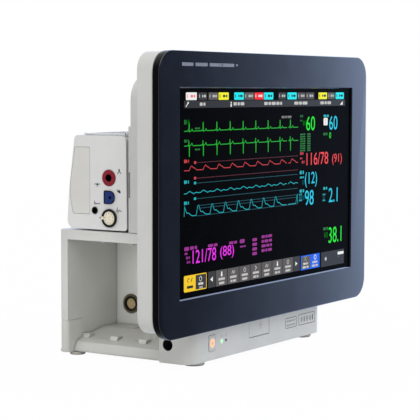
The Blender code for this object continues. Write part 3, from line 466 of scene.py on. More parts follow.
def rounded_block(size, radius, steps=3):
    """A box of size (x, y, z) in millimetres around the origin, with every edge rounded."""
    shape = bmesh.new()
    bmesh.ops.create_cube(shape, size=1.0)
    for vert in shape.verts:
        vert.co = Vector(vert.co[i] * size[i] * MM for i in range(3))
    bmesh.ops.bevel(
        shape, geom=shape.edges[:], offset=radius * MM, segments=steps, affect="EDGES", profile=0.5
    )
    return shape


def block(name, centre, size, radius, finish, body):
    shape = rounded_block(size, radius)
    shape.transform(Matrix.Translation(centre))
    return add_piece(name, shape, finish, body, smooth=40)


def join(shapes):
    """Several bmeshes as one."""
    joined = bmesh.new()
    for shape in shapes:
        mesh = as_mesh("part", shape)
        joined.from_mesh(mesh)
        bpy.data.meshes.remove(mesh)
    return joined


def rounded_blocks(parts, radius, steps=1):
    """Several rounded boxes as one shape, from (size, place) pairs."""
    shapes = []
    for size, place in parts:
        shape = rounded_block(size, radius, steps)
        shape.transform(Matrix.Translation(Vector(place) * MM))
        shapes.append(shape)
    return join(shapes)


def pins(name, places, radius, height, centre, axis, finish, body):
    """Round-nosed contact pins at (right, up) places around a centre."""
    profile = (
        (0, height), (radius * 0.6, height - radius * 0.15), (radius, height - radius * 0.7), (radius, 0),
        (0, 0),
    )
    shapes = []
    for right, up in places:
        pin = lathe(profile, 12)
        pin.transform(Matrix.Translation(Vector((right, up, 0)) * MM))
        shapes.append(pin)
    shape = join(shapes)
    shape.transform(facing_matrix(centre, axis))
    return add_piece(name, shape, finish, body, smooth=40)


def circle_places(count, radius, turn=0.0):
    step = 2 * math.pi / count
    return [(radius * math.cos(turn + step * i), radius * math.sin(turn + step * i)) for i in range(count)]


class Sheet:
    """Flat marks on one plane. u runs to the reader's right and v up, in millimetres."""

    def __init__(self, name, body, origin, right, up=(0, 0, 1), thick=0.06):
        self.name, self.body, self.thick = name, body, thick
        self.origin, self.right, self.up = Vector(origin), Vector(right), Vector(up)
        self.out = self.right.cross(self.up).normalized()
        self.shapes = {}

    def point(self, u, v):
        return self.origin + (self.right * u + self.up * v) * MM

    def shape(self, ink):
        if ink not in self.shapes:
            self.shapes[ink] = bmesh.new()
        return self.shapes[ink]

    def face(self, ink, points):
        shape = self.shape(ink)
        shape.faces.new([shape.verts.new(self.point(u, v)) for u, v in points])

    def rect(self, ink, left, right, low, high, radius=0.0, steps=4):
        if not radius:
            self.face(ink, ((left, low), (right, low), (right, high), (left, high)))
            return
        corners = ((right, high, 0), (left, high, 1), (left, low, 2), (right, low, 3))
        points = []
        for u, v, quarter in corners:
            centre_u = u - radius if quarter in (0, 3) else u + radius
            centre_v = v - radius if quarter in (0, 1) else v + radius
            for i in range(steps + 1):
                angle = math.pi / 2 * (quarter + i / steps)
                points.append((centre_u + radius * math.cos(angle), centre_v + radius * math.sin(angle)))
        self.face(ink, points)

    def band(self, ink, inner, outer):
        """A strip between two point lists of the same length."""
        shape = self.shape(ink)
        rows = [[shape.verts.new(self.point(u, v)) for u, v in side] for side in (inner, outer)]
        for i in range(len(inner) - 1):
            shape.faces.new((rows[0][i], rows[0][i + 1], rows[1][i + 1], rows[1][i]))

    def arc(self, ink, u, v, radius, width, start=0.0, sweep=360.0, steps=40):
        angles = [math.radians(start + sweep * i / steps) for i in range(steps + 1)]
        sides = []
        for reach in (radius - width / 2, radius + width / 2):
            sides.append([(u + reach * math.cos(a), v + reach * math.sin(a)) for a in angles])
        self.band(ink, *sides)

    def disc(self, ink, u, v, radius, steps=24):
        angles = [2 * math.pi * i / steps for i in range(steps)]
        self.face(ink, [(u + radius * math.cos(a), v + radius * math.sin(a)) for a in angles])

    def line(self, ink, points, width):
        """A stroke along points, mitred at its corners."""
        points = [Vector(point) for point in points]
        sides = [[], []]
        for i, point in enumerate(points):
            before = (point - points[i - 1]).normalized() if i else None
            after = (points[i + 1] - point).normalized() if i + 1 < len(points) else None
            along = (before or after) + (after or before)
            if along.length < 0.2:
                along = before
            along.normalize()
            normal = Vector((-along.y, along.x))
            reach = width / 2 / max(0.45, abs(along.dot(before or after)))
            for side, sign in zip(sides, (-1, 1)):
                side.append(point + normal * sign * reach)
        self.band(ink, *sides)

    def words(self, ink, left, right, low, high, count=2, turn=0):
        """Stand-ins for small print: rows of rounded bars of uneven length, with no lettering."""
        shares = [0.6 + ((i + turn + 1) * GOLDEN) % 1.0 for i in range(count)]
        gap = (high - low) * 0.45
        unit = (right - left - gap * (count - 1)) / sum(shares)
        u = left
        for share in shares:
            self.rect(ink, u, u + unit * share, low, high, (high - low) * 0.3, 2)
            u += unit * share + gap

    def row(self, ink, left, right, centre, height, count=2, turn=0):
        """Small print centred on a height."""
        self.words(ink, left, right, centre - height / 2, centre + height / 2, count, turn)

    def number(self, ink, text, left, right, low, high):
        """Digits fitted to a box."""
        curve = bpy.data.curves.new("digits", "FONT")
        curve.body = text
        curve.resolution_u = 6
        holder = show("digits", curve)
        bpy.context.view_layer.update()
        mesh = bpy.data.meshes.new_from_object(holder.evaluated_get(bpy.context.evaluated_depsgraph_get()))
        bpy.data.objects.remove(holder)
        us = [vert.co.x for vert in mesh.vertices]
        vs = [vert.co.y for vert in mesh.vertices]
        for vert in mesh.vertices:
            u = left + (vert.co.x - min(us)) / (max(us) - min(us)) * (right - left)
            v = low + (vert.co.y - min(vs)) / (max(vs) - min(vs)) * (high - low)
            vert.co = self.point(u, v)
        self.shape(ink).from_mesh(mesh)
        bpy.data.meshes.remove(mesh)

    def make(self):
        for ink, shape in self.shapes.items():
            bmesh.ops.remove_doubles(shape, verts=shape.verts, dist=1e-7)
            for side in shape.faces:
                side.normal_update()
                if side.normal.dot(self.out) < 0:
                    side.normal_flip()
            mesh = as_mesh(self.name, shape)
            mesh.materials.append(INKS[ink])
            obj = show(f"{self.name}_{ink}", mesh)
            plate = obj.modifiers.new("thickness", "SOLIDIFY")
            plate.thickness = self.thick * MM
            plate.offset = 1.0
            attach(obj, self.body)


# Screen


def beat_line(start, end, pitch, first, level, shape):
    """Points of a repeating wave: shape gives (share of a beat, height) pairs from each beat's start."""
    points = [(start, level)]
    beat = first
    while beat < end:
        for share, height in shape:
            u = beat + share * pitch
            if start < u < end:
                points.append((u, level + height))
        beat += pitch
    points.append((end, level))
    return points


LEAD_ONE = (
    (-0.13, 0.0), (-0.09, 1.0), (-0.05, 0.1), (-0.025, 0.0), (-0.012, 8.2), (0.012, 8.2), (0.03, -0.6),
    (0.06, 0.1), (0.15, 0.1), (0.21, 1.9), (0.27, 0.0),
)
LEAD_TWO = (
    (-0.13, 0.0), (-0.09, 0.7), (-0.05, 0.0), (-0.03, 0.0), (-0.018, 4.4), (0.0, 4.4), (0.012, -10.3),
    (0.03, -10.3), (0.04, 0.1), (0.13, 0.6), (0.2, 2.6), (0.27, 0.0),
)
ARTERY = (
    (-0.18, 0.0), (-0.12, 2.4), (-0.02, 4.3), (0.05, 3.6), (0.1, 2.4), (0.18, 2.3), (0.25, 1.2), (0.36, 0.1),
    (0.42, 0.0), (0.8, -0.1),
)
VEIN = (
    (-0.2, 0.0), (0.0, 0.1), (0.1, 1.3), (0.2, 2.0), (0.3, 1.3), (0.42, 0.2), (0.5, -0.6), (0.6, 0.4),
    (0.7, 0.6),
)
PLETH = (
    (-0.08, 0.0), (-0.02, 5.2), (0.02, 8.6), (0.06, 9.9), (0.1, 9.8), (0.16, 7.0), (0.23, 3.6), (0.3, 3.0),
    (0.37, 3.4), (0.46, 2.0), (0.58, 0.5), (0.66, 0.0),
)


def draw_waves(screen):
    pitch, sweep_end, wave_end = 25.1, 31.0, 55.5
    rows = (
        ("green_line", LEAD_ONE, 242.1, -159.4, 0.85),
        ("green_line", LEAD_TWO, 227.7, -159.4, 0.85),
        ("red_line", ARTERY, 203.6, -154.4, 0.75),
        ("cyan_line", VEIN, 180.9, -163.4, 0.75),
        ("cyan_line", PLETH, 158.6, -144.5, 0.75),
    )
    for ink, shape, level, first, width in rows:
        screen.line(ink, beat_line(-168.0, sweep_end, pitch, first - pitch, level, shape), width)
        late = first + pitch * 8
        screen.line(ink, beat_line(sweep_end + 3.6, wave_end, pitch, late - 3.0, level, shape), width)
    limits = (("red_dim", (210.8, 195.4)), ("cyan_dim", (190.5, 175.1)), ("cyan_dim", (168.1, 165.3, 157.9)))
    for ink, levels in limits:
        for level in levels:
            screen.rect(ink, -145.0, wave_end, level - 0.3, level + 0.3)
    labels = (
        ("green_dim", 251.0, 4.6), ("green_dim", 232.6, 3.0), ("red_line", 212.8, 3.4),
        ("cyan_line", 192.4, 3.4), ("cyan_line", 171.7, 3.4),
    )
    for ink, middle, height in labels:
        screen.rect(ink, -168.0, -165.2, middle - height / 2, middle + height / 2, 0.5)
        screen.row(ink, -164.6, -159.6, middle, height)
    for ink, middle in (("red_line", 211.0), ("red_line", 195.6), ("cyan_line", 190.8), ("cyan_line", 175.3)):
        screen.rect(ink, -150.6, -146.6, middle - 1.3, middle + 1.3, 0.6)
    for ink, middle in (("green_dim", 244.6), ("green_dim", 223.8)):
        screen.row(ink, -149.0, -140.0, middle, 1.8)
    screen.words("dim_lit", 19.5, 40.5, 252.3, 254.8, 3)


def draw_alarm_row(screen):
    """The row of coloured keys along the top, and the status bar below it."""
    low, high = 272.5, 280.0
    tiles = (
        ("white_lit", -165.0, -145.8, "pink_lit"), ("cell_dark", -143.0, -127.2, "grey_lit"),
        ("cell_grey", -124.4, -107.0, "grey_lit"), ("yellow_lit", -106.0, -87.0, "black_lit"),
        ("cyan_lit", -76.4, -57.8, "black_lit"), ("cell_grey", -56.6, -37.6, "grey_lit"),
        ("red_lit", -36.4, -18.4, "white_lit"), ("cyan_lit", -17.6, 1.7, "black_lit"),
        ("cell_dark", 12.7, 29.0, "grey_lit"), ("cyan_lit", 31.7, 51.8, "black_lit"),
        ("cell_mid", 53.8, 71.0, "grey_lit"), ("cell_mid", 72.6, 90.8, "grey_lit"),
        ("yellow_lit", 100.8, 120.5, "black_lit"), ("cell_grey", 122.4, 138.6, "grey_lit"),
        ("cyan_lit", 140.8, 160.6, "black_lit"),
    )
    marks = Sheet("screen_tile_marks", "root", at(0, GLASS - 0.12, 0), RIGHT)
    for i, (ink, left, right, mark) in enumerate(tiles):
        screen.rect(ink, left, right, low, high, 0.9)
        wide = right - left
        marks.rect(mark, left + wide * 0.1, left + wide * 0.16, low + 2.2, high - 2.0, 0.4, 2)
        marks.words(mark, left + wide * 0.42, left + wide * 0.86, low + 2.6, high - 2.4, 2, i)
    screen.rect("cell_bar", -168.3, 163.6, 264.7, 271.9)
    for left, right, count in (
        (-140.5, -130.4, 2), (-77.8, -57.0, 3), (-17.0, 20.2, 5), (46.5, 75.4, 3), (106.0, 129.8, 3),
    ):
        marks.words("grey_lit", left, right, 266.7, 270.0, count)
    marks.line("white_lit", ((-165.0, 266.0), (-161.6, 269.6)), 1.0)
    marks.disc("white_lit", -161.2, 269.8, 1.1)
    marks.disc("white_lit", -82.4, 269.6, 1.0)
    marks.rect("white_lit", -83.5, -81.3, 265.3, 268.4, 0.8)
    marks.face("white_lit", ((151.4, 266.0), (157.8, 266.0), (157.8, 270.2)))
    marks.rect("grey_lit", 104.5, 105.3, 266.6, 270.2)
    return marks


def draw_numerics(screen):
    numbers = (
        ("green_lit", "60", 73.5, 93.0, 238.0, 253.5), ("cyan_text", "60", 126.3, 145.6, 237.8, 253.4),
        ("red_text", "116/78", 74.6, 124.4, 199.4, 213.2), ("red_text", "(91)", 133.8, 157.0, 197.4, 210.2),
        ("cyan_text", "(12)", 71.4, 98.6, 174.6, 191.8), ("cyan_text", "98", 71.6, 91.2, 155.0, 171.6),
        ("cyan_text", "2.1", 126.4, 147.4, 155.2, 171.6), ("green_lit", "38.1", 126.8, 157.6, 108.6, 126.6),
        ("magenta_lit", "121/78", -152.8, -110.0, 110.8, 124.2),
        ("magenta_lit", "(88)", -102.2, -76.0, 110.4, 124.0),
        ("green_lit", "0", 126.4, 130.6, 228.3, 234.9),
    )
    for ink, text, left, right, low, high in numbers:
        screen.number(ink, text, left, right, low, high)
    for ink, left, right, middle, height in (
        ("green_dim", 59.8, 66.0, 254.0, 2.8), ("green_dim", 60.0, 64.4, 249.2, 2.0),
        ("green_dim", 66.6, 71.0, 246.4, 5.0), ("cyan_line", 113.0, 124.8, 253.6, 2.8),
        ("green_dim", 112.6, 122.2, 233.2, 3.0), ("red_line", 60.2, 67.4, 213.0, 3.2),
        ("red_line", 60.2, 65.0, 207.6, 2.0), ("red_line", 64.0, 69.8, 203.4, 3.2),
        ("cyan_line", 59.6, 68.8, 192.0, 4.0), ("cyan_line", 60.0, 68.6, 186.6, 2.0),
        ("cyan_dim", 65.4, 69.4, 181.0, 4.6), ("cyan_line", 59.6, 69.6, 171.6, 3.4),
        ("cyan_line", 60.4, 63.0, 164.6, 8.0), ("cyan_dim", 66.0, 69.6, 164.0, 5.0),
        ("cyan_line", 113.4, 122.6, 171.8, 3.2), ("cyan_line", 113.6, 116.8, 161.6, 8.0),
        ("green_dim", 114.0, 125.6, 125.8, 3.4), ("green_dim", 117.0, 124.0, 118.6, 6.4),
    ):
        screen.row(ink, left, right, middle, height)
    for row in range(8):
        middle = 234.0 - 2.55 * row
        screen.row("green_dim", 60.0, 71.4, middle, 1.7, 2, row)
        screen.row("green_dim", 75.8, 83.2, middle, 1.7, 1, row)
    screen.rect("white_lit", 113.0, 122.4, 243.0, 251.4, 1.6)
    for left, right, low, high, count in (
        (-167.6, -159.2, 124.6, 128.4, 1), (-157.4, -144.8, 125.0, 128.4, 2),
        (-125.0, -107.4, 124.9, 127.8, 2), (-85.4, -70.2, 124.6, 127.4, 2),
        (-64.6, -55.2, 124.0, 128.0, 1), (-64.0, -53.0, 119.6, 121.2, 2),
        (-167.0, -162.0, 120.8, 122.8, 1), (-164.2, -158.0, 116.2, 119.0, 2),
        (-163.0, -157.2, 112.0, 114.4, 2),
    ):
        screen.words("magenta_dim", left, right, low, high, count)
    for row in range(4):
        middle = 125.6 - 4.9 * row
        screen.row("magenta_dim", -39.6, -30.4, middle, 3.2, 1, row)
        screen.words("magenta_dim", -21.0, 0.4, middle + 0.2, middle + 3.2, 3, row)


def draw_key_row(screen, marks):
    """The row of touch keys along the bottom."""
    low, high = 83.7, 100.0
    screen.rect("amber_lit", -168.2, -127.4, low, high, 1.6)
    marks.rect("cell_dark", -147.4, -128.4, low + 1.0, high - 1.0, 0.6)
    marks.words("black_lit", -163.0, -152.0, 87.0, 89.6, 1)
    marks.arc("black_lit", -160.0, 95.0, 1.8, 0.8, 40, 220, 12)
    marks.line("black_lit", ((-156.0, 93.0), (-153.4, 97.0)), 0.9)
    screen.rect("cell_dark", -124.4, -110.8, low, high)
    marks.face("white_lit", ((-120.6, 92.0), (-116.2, 94.6), (-116.2, 89.4)))
    edges = (-110.4, -88.4, -65.8, -43.6, -21.2, 1.0, 23.6, 46.2)
    for i, (left, right) in enumerate(zip(edges, edges[1:])):
        screen.rect("cell_grey", left + 0.5, right - 0.5, low, high)
        middle = (left + right) / 2
        marks.words("grey_lit", left + 5.0, right - 5.0, 89.4, 91.8, 1, i)
        marks.words("grey_lit", left + 6.0, right - 6.0, 85.2, 87.6, 1 + i % 2, i)
        draw_key_symbol(marks, i, middle, 95.6)
    screen.rect("cell_dark", 46.4, 61.0, low, high)
    marks.face("white_lit", ((55.6, 92.0), (51.4, 94.4), (51.4, 89.6)))
    screen.rect("blue_lit", 63.4, 106.0, low - 0.4, high - 0.6)
    marks.rect("cell_grey", 64.8, 84.4, low + 0.8, high - 1.8)
    for left, ink in ((67.4, "white_lit"), (88.4, "grey_lit")):
        marks.words(ink, left + 1.0, left + 12.4, 89.0, 91.4, 1)
        marks.words(ink, left, left + 13.4, 85.0, 87.4, 2)
    marks.line("white_lit", ((70.6, 93.4), (76.4, 98.0)), 1.2)
    marks.line("white_lit", ((70.6, 98.0), (76.4, 93.4)), 1.2)
    marks.arc("white_lit", 95.6, 95.6, 2.4, 0.8)
    screen.rect("cell_bar", 109.6, 164.2, low - 1.2, high - 0.6)
    marks.rect("white_lit", 148.8, 163.0, 93.6, 96.8, 0.6)
    marks.disc("grey_lit", 120.4, 91.2, 2.2)
    marks.rect("dim_lit", 150.2, 151.6, 90.6, 92.2, 0.4)
    marks.arc("white_lit", -138.6, 94.8, 2.2, 0.9)
    marks.words("white_lit", -142.6, -133.6, 88.6, 91.0, 1)
    marks.words("grey_lit", -141.2, -134.6, 85.0, 87.2, 1)


def draw_key_symbol(marks, kind, u, v, strong="white_lit", soft="grey_lit"):
    """A simple symbol of this key: figure, wave, ring or arrow."""
    if kind in (0, 5):
        marks.disc(strong, u, v + 1.6, 1.1)
        marks.rect(strong, u - 1.4, u + 1.4, v - 2.4, v + 0.6, 0.9)
    elif kind in (1, 4):
        marks.line(soft, ((u - 3, v - 1.6), (u - 1, v + 1.6), (u + 1, v - 1.6), (u + 3, v + 1.6)), 0.8)
    elif kind in (2, 6):
        marks.arc(soft, u, v, 2.0, 0.8)
    else:
        marks.line(soft, ((u - 1.6, v + 2.2), (u + 1.4, v), (u - 1.6, v - 2.2)), 0.9)


def make_lamp_marks():
    lamp_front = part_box("alarm_light_guide")[0].y / MM - FRONT
    lamp = Sheet("lamp_marks", "root", at(0, lamp_front - ON_FACE, 0), RIGHT)
    lamp.arc("dark_ink", -101.8, 307.4, 0.9, 0.5)
    lamp.line("dark_ink", ((-103.0, 306.2), (-100.6, 308.6)), 0.4)
    lamp.words("grey_ink", -144.0, -135.0, 306.8, 307.9, 2)
    lamp.make()
    sensor = Sheet("bezel_sensor", "root", at(0, -ON_FACE, 0), RIGHT)
    sensor.disc("lamp_ink", -74.4, 307.6, 1.1)
    sensor.make()


def make_screen():
    screen = Sheet("screen", "root", at(0, GLASS - 0.05, 0), RIGHT)
    draw_waves(screen)
    draw_numerics(screen)
    marks = draw_alarm_row(screen)
    draw_key_row(screen, marks)
    marks.number("pink_lit", "7", 116.4, 119.0, 244.8, 249.8)
    screen.make()
    marks.make()


# Markings and lamps on the chin


def power_symbol(sheet, ink, u, v, radius, width):
    sheet.arc(ink, u, v, radius, width, 125, 290)
    sheet.rect(ink, u - width / 2, u + width / 2, v + radius * 0.2, v + radius * 1.15)


def make_chin_marks():
    button_low, button_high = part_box("power_button")
    button_front = button_low.y / MM - FRONT
    centre = (button_low + button_high) / 2 / MM
    half = (button_high.x - button_low.x) / 2 / MM
    button = Sheet("power_symbol", "power_button", at(0, button_front - ON_FACE, 0), RIGHT)
    half -= 1.3
    draw_outline(
        button, "faint_ink", centre.x - half, centre.x + half, centre.z - 7.4, centre.z + 7.4, 0.5, 1.5
    )
    button.arc("orange_halo", centre.x, centre.z, 3.4, 2.6)
    power_symbol(button, "orange_glow", centre.x, centre.z, 3.4, 1.3)
    button.make()
    chin = Sheet("chin_marks", "root", at(0, CHIN - ON_FACE, 0), RIGHT)
    for name, ink in (("power_led", "green_halo"), ("standby_led", None)):
        place = middle(name) / MM
        if ink:
            chin.arc(ink, place.x, place.z, 2.2, 1.2)
        arrow = ((-1.4, 4.6), (0.0, 7.2), (1.4, 4.6))
        chin.line("faint_ink", [(place.x + u, place.z + v) for u, v in arrow], 0.4)
        chin.rect("faint_ink", place.x - 0.3, place.x + 0.3, place.z + 3.2, place.z + 5.6)
    draw_outline(chin, "olive_ink", 53.4, 78.5, 18.1, 29.9, 0.75, 2.0)
    for row, low in enumerate((20.6, 25.2)):
        chin.words("pale_ink", 56.4, 75.4, low, low + 1.9, 4, row)
    draw_outline(chin, "olive_ink", 82.6, 120.3, 18.1, 30.7, 0.75, 2.0)
    chin.words("pale_ink", 87.6, 115.8, 21.2, 27.6, 5)
    chin.make()
    flap_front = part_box("front_flap")[0].y / MM - FRONT
    flap = Sheet("flap_symbol", "front_flap", at(0, flap_front - ON_FACE, 0), RIGHT)
    u, v = -0.2, 31.0
    flap.rect("pale_ink", u - 0.3, u + 0.3, v - 1.2, v + 3.6)
    flap.arc("pale_ink", u, v + 0.6, 2.9, 0.55, 190, 160, 16)
    flap.rect("pale_ink", u - 2.4, u + 2.4, v - 5.0, v - 4.3)
    flap.make()


def draw_outline(sheet, ink, left, right, low, high, width, radius):
    """A rectangular outline with round corners."""
    corner = radius - width / 2
    for u, v, start in (
        (right - radius, high - radius, 0), (left + radius, high - radius, 90),
        (left + radius, low + radius, 180), (right - radius, low + radius, 270),
    ):
        sheet.arc(ink, u, v, corner, width, start, 90, 8)
    sheet.rect(ink, left + radius, right - radius, high - width, high)
    sheet.rect(ink, left + radius, right - radius, low, low + width)
    sheet.rect(ink, left, left + width, low + radius, high - radius)
    sheet.rect(ink, right - width, right, low + radius, high - radius)


# Sockets of the plug-in bay and of the measurement module


def make_rack_contacts():
    """The liner, cream face and contacts of each socket in the bay's end wall."""
    liner = (
        (0, -2.9), (5.9, -2.9), (6.1, -2.7), (6.1, 1.3), (7.9, 1.3), (8.2, 1.7), (7.8, 2.0), (6.6, 2.0),
        (6.3, 1.7), (6.3, -2.6), (0, -2.6),
    )
    face = ((0, 0.5), (5.5, 0.5), (6.0, 0.1), (6.0, -2.5), (0, -2.5))
    for name in ("rack_socket_front", "rack_socket_middle", "rack_socket_rear"):
        centre = middle(name, BAY_END)
        turned(name + "_liner", liner, centre, LEFT, SOCKET_BLACK, "root")
        turned(name + "_face", face, centre, LEFT, SAND, "root")
        places = circle_places(8, 3.9) + circle_places(4, 1.8, 0.4)
        pins(name + "_pins", places, 0.45, 0.7, centre + Vector((-0.4 * MM, 0, 0)), LEFT, GOLD, "root")


def make_module_sockets():
    body = "measurement_module"
    pressure = middle("pressure_socket", MODULE_LEFT)
    bore = ((0, -7.6), (3.2, -7.6), (3.3, 0.3), (3.9, 0.8), (3.6, 1.0), (3.0, 0.6), (3.0, -7.2), (0, -7.2))
    # The bore is near-black: painted shade inside the hole.
    turned("pressure_bore", bore, pressure, LEFT, HOLLOW_SHADE_BLACK, body)
    ecg = middle("ecg_socket", MODULE_LEFT)
    disc = ((0, 1.3), (6.8, 1.3), (7.2, 1.1), (7.2, 0.4), (0, 0.4))
    turned("ecg_insulator", disc, ecg, LEFT, CREAM, body)
    key = rounded_block((1.6, 2.6, 3.2), 0.4)
    key.transform(Matrix.Translation(ecg + Vector((-1.5, 7.9, 0)) * MM))
    add_piece("ecg_key", key, CREAM, body, smooth=40)
    holes = circle_places(9, 5.0, 0.2) + circle_places(3, 1.8, 0.9)
    # The contacts are darker than bare metal: painted shade of the pin holes.
    pins("ecg_contacts", holes, 0.65, 0.25, ecg + Vector((-1.2 * MM, 0, 0)), LEFT, SHADED_CONTACT_METAL, body)
    oxygen = middle("oxygen_socket", MODULE_LEFT)
    insert = d_shape(6.0, 5.3, 5.3, 1.1)
    insert.transform(facing_matrix(oxygen + Vector((-0.9, -0.9, 0)) * MM, LEFT))
    add_piece("oxygen_insert", insert, BLUE, body, smooth=40)
    hub = ((0, 0.3), (1.3, 0.3), (1.6, 0.0), (1.6, -0.4), (0, -0.4))
    # The near-black centre of the insert: painted shade.
    turned("oxygen_hub", hub, oxygen + Vector((-2.0, -1.9, 0)) * MM, LEFT, HOLLOW_SHADE_BLACK, body, 20)
    dots = circle_places(8, 3.6, 0.3)
    pins("oxygen_contacts", dots, 0.35, 0.2, oxygen + Vector((-1.9, -1.5, 0)) * MM, LEFT, SOCKET_BLACK, body)
    temperature = middle("temperature_socket", MODULE_LEFT)
    throat = (
        (0, -5.5), (2.5, -5.5), (2.5, 0.52), (3.8, 0.52), (3.7, 0.66), (2.4, 0.6), (2.3, -5.2), (0, -5.2),
    )
    # The near-black lining and bottom of the deep hole: painted shade.
    turned("temperature_throat", throat, temperature, LEFT, HOLLOW_SHADE_BLACK, body, 32)


def d_shape(half, flat, reach, thick):
    """A plate with one flat side and one round side, its face towards +Z."""
    outline = [(-flat, -half), (-flat, half)]
    for i in range(17):
        angle = math.pi / 2 - math.pi * i / 16
        outline.append((reach * math.cos(angle) * 1.1, half * math.sin(angle)))
    shape = bmesh.new()
    plate = shape.faces.new([shape.verts.new(Vector((u, v, 0)) * MM) for u, v in reversed(outline)])
    raised = bmesh.ops.extrude_face_region(shape, geom=[plate])["geom"]
    top = [item for item in raised if isinstance(item, bmesh.types.BMVert)]
    bmesh.ops.translate(shape, vec=(0, 0, thick * MM), verts=top)
    return shape


def make_module_marks():
    """Small line symbols beside the sockets."""
    end = Sheet("module_end_marks", "measurement_module", at(MODULE_LEFT - ON_FACE, 0, 0), NEARER)

    def stroke(u, v, points, width=0.75):
        end.line("black_ink", [(u + 1.3 * a, v + 1.3 * b) for a, b in points], width)

    end.disc("black_ink", -104.4, 200.0, 1.0, 12)
    stroke(-104.4, 198.0, ((-1.6, -1.6), (0.0, 0.6), (1.8, -1.4)))
    stroke(-105.0, 177.8, ((-1.8, 1.6), (-0.6, -0.6), (0.4, 1.0), (1.6, -1.4)), 0.9)
    end.disc("black_ink", -103.8, 177.2, 1.2, 12)
    beat = (
        (-2.6, -1.2), (-2.2, -0.6), (-1.8, 2.2), (-1.1, -2.0), (-0.4, -0.6), (0.6, 0.2), (1.6, -0.6),
        (2.4, -0.8),
    )
    stroke(-104.6, 158.3, beat)
    squiggle = ((-2.8, -0.4), (-2.0, 0.4), (-1.0, -0.2), (0.0, 0.9), (1.0, -0.2), (2.0, 0.5), (2.8, -0.3))
    stroke(-132.6, 184.4, squiggle, 0.5)
    end.disc("dark_ink", -132.6, 184.0, 0.9, 12)
    end.line("dark_ink", ((-134.2, 182.0), (-132.6, 182.8), (-131.0, 182.0)), 0.4)
    wave = (
        (-2.8, -0.8), (-2.4, 1.8), (-1.8, -1.0), (-1.0, 0.3), (0.0, -0.6), (1.2, -0.2), (2.4, -0.6),
        (2.8, 0.4),
    )
    stroke(-133.2, 164.6, wave, 0.65)
    end.disc("black_ink", -129.0, 149.6, 0.8, 12)
    end.make()


def make_dock_strip():
    """The pierced strip on the dock's left end, beside the module: its holes are black marks, painted shade.
    """
    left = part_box("dock_bracket")[0].x
    strip = Sheet("dock_strip", "root", Vector((left - ON_FACE * MM, 0, 0)), NEARER)
    u = -(STRIP_DEPTH + FRONT)
    for i in range(11):
        z = 172.0 + 2.4 * i
        # Each hole is a black mark on the face: painted shade.
        strip.rect("black_ink", u - 0.8, u + 0.8, z, z + 1.6, 0.3, 2)
    strip.make()


# Screws, connectors and labels on the other sides


def screw_head(name, centre, axis, radius=SCREW_RADIUS):
    """A domed screw head with a cross recess, drawn as a near-black cross on the dome: painted shade."""
    dome = (
        (0, radius * 0.32), (radius * 0.5, radius * 0.28), (radius * 0.85, radius * 0.12),
        (radius, -radius * 0.1), (radius, -radius * 0.4), (0, -radius * 0.4),
    )
    head = lathe(dome, 28)
    head.transform(facing_matrix(centre, axis))
    add_piece(name, head, SCREW_STEEL, "root", smooth=35)
    long, narrow, thick = radius * 1.1, radius * 0.26, radius * 0.12
    slots = join([rounded_block((long, narrow, thick), 0.05), rounded_block((narrow, long, thick), 0.05)])
    slots.transform(facing_matrix(centre + Vector(axis) * radius * 0.28 * MM, axis))
    # The recess is not cut: a near-black cross, painted shade.
    add_piece(name + "_recess", slots, HOLLOW_SHADE_BLACK, "root")


def make_screws():
    rear_faces = (
        ("housing_screw", "rear_housing", SCREW_RADIUS, ((-118, 262), (118, 262))),
        ("shell_screw", "display_shell", SCREW_RADIUS, ((-196, 62), (196, 62), (-196, 302), (196, 302))),
        ("panel_screw", "connector_panel", 2.4, ((-25, 35), (115, 35), (-25, 110), (115, 110))),
        ("base_screw", "base_housing", SCREW_RADIUS, ((-126, 130), (126, 130), (126, 18))),
    )
    for name, part, radius, places in rear_faces:
        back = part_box(part)[1].y
        for i, (x, z) in enumerate(places):
            screw_head(f"{name}_{i}", Vector((x * MM, back, z * MM)), BACK, radius)
    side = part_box("side_cover")[1].x
    for i, (depth, z) in enumerate(((76, 26), (159, 26), (76, 112), (159, 112))):
        screw_head(f"cover_screw_{i}", Vector((side, (FRONT + depth) * MM, z * MM)), RIGHT, 2.2)


def make_connectors():
    inlet = middle("ac_inlet")
    for i, (x, z) in enumerate(((-6.5, -1.5), (0, 2.0), (6.5, -1.5))):
        place = inlet + Vector((x, -1.0, z)) * MM
        block(f"inlet_blade_{i}", place, (1.6, 9.0, 4.4), 0.3, SCREW_STEEL, "root")
    network = middle("network_jack")
    wires = rounded_blocks([((0.5, 4.0, 0.5), ((i - 3.5) * 1.05, 0.5, 3.2)) for i in range(8)], 0.12)
    wires.transform(Matrix.Translation(network))
    add_piece("network_contacts", wires, GOLD, "root")
    stud = middle("ground_stud")
    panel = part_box("connector_panel")[1].y
    nut = lathe(((3.1, 0), (3.1, 1.7), (4.6, 1.7), (5.0, 1.4), (5.0, 0)), 6)
    nut.transform(facing_matrix(Vector((stud.x, panel, stud.z)), BACK))
    add_piece("stud_nut", nut, BRASS, "root", smooth=20)
    tongue = middle("service_socket") + Vector((0, -2.0, 0.3)) * MM
    block("service_tongue", tongue, (9.6, 9.0, 1.6), 0.2, DARK_PLASTIC, "root")
    strips = rounded_blocks([((1.0, 6.0, 0.3), (x, -0.6, -0.85)) for x in (-3.0, -1.0, 1.0, 3.0)], 0.08)
    strips.transform(Matrix.Translation(tongue))
    add_piece("service_contacts", strips, GOLD, "root")
    face = middle("dock_connector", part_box("dock_connector")[0].x / MM)
    places = [(u * 3.0, v * 3.2) for u in range(-4, 5) for v in range(-3, 4) if v]
    pins("dock_pins", places, 0.5, 1.4, face, LEFT, GOLD, "root")


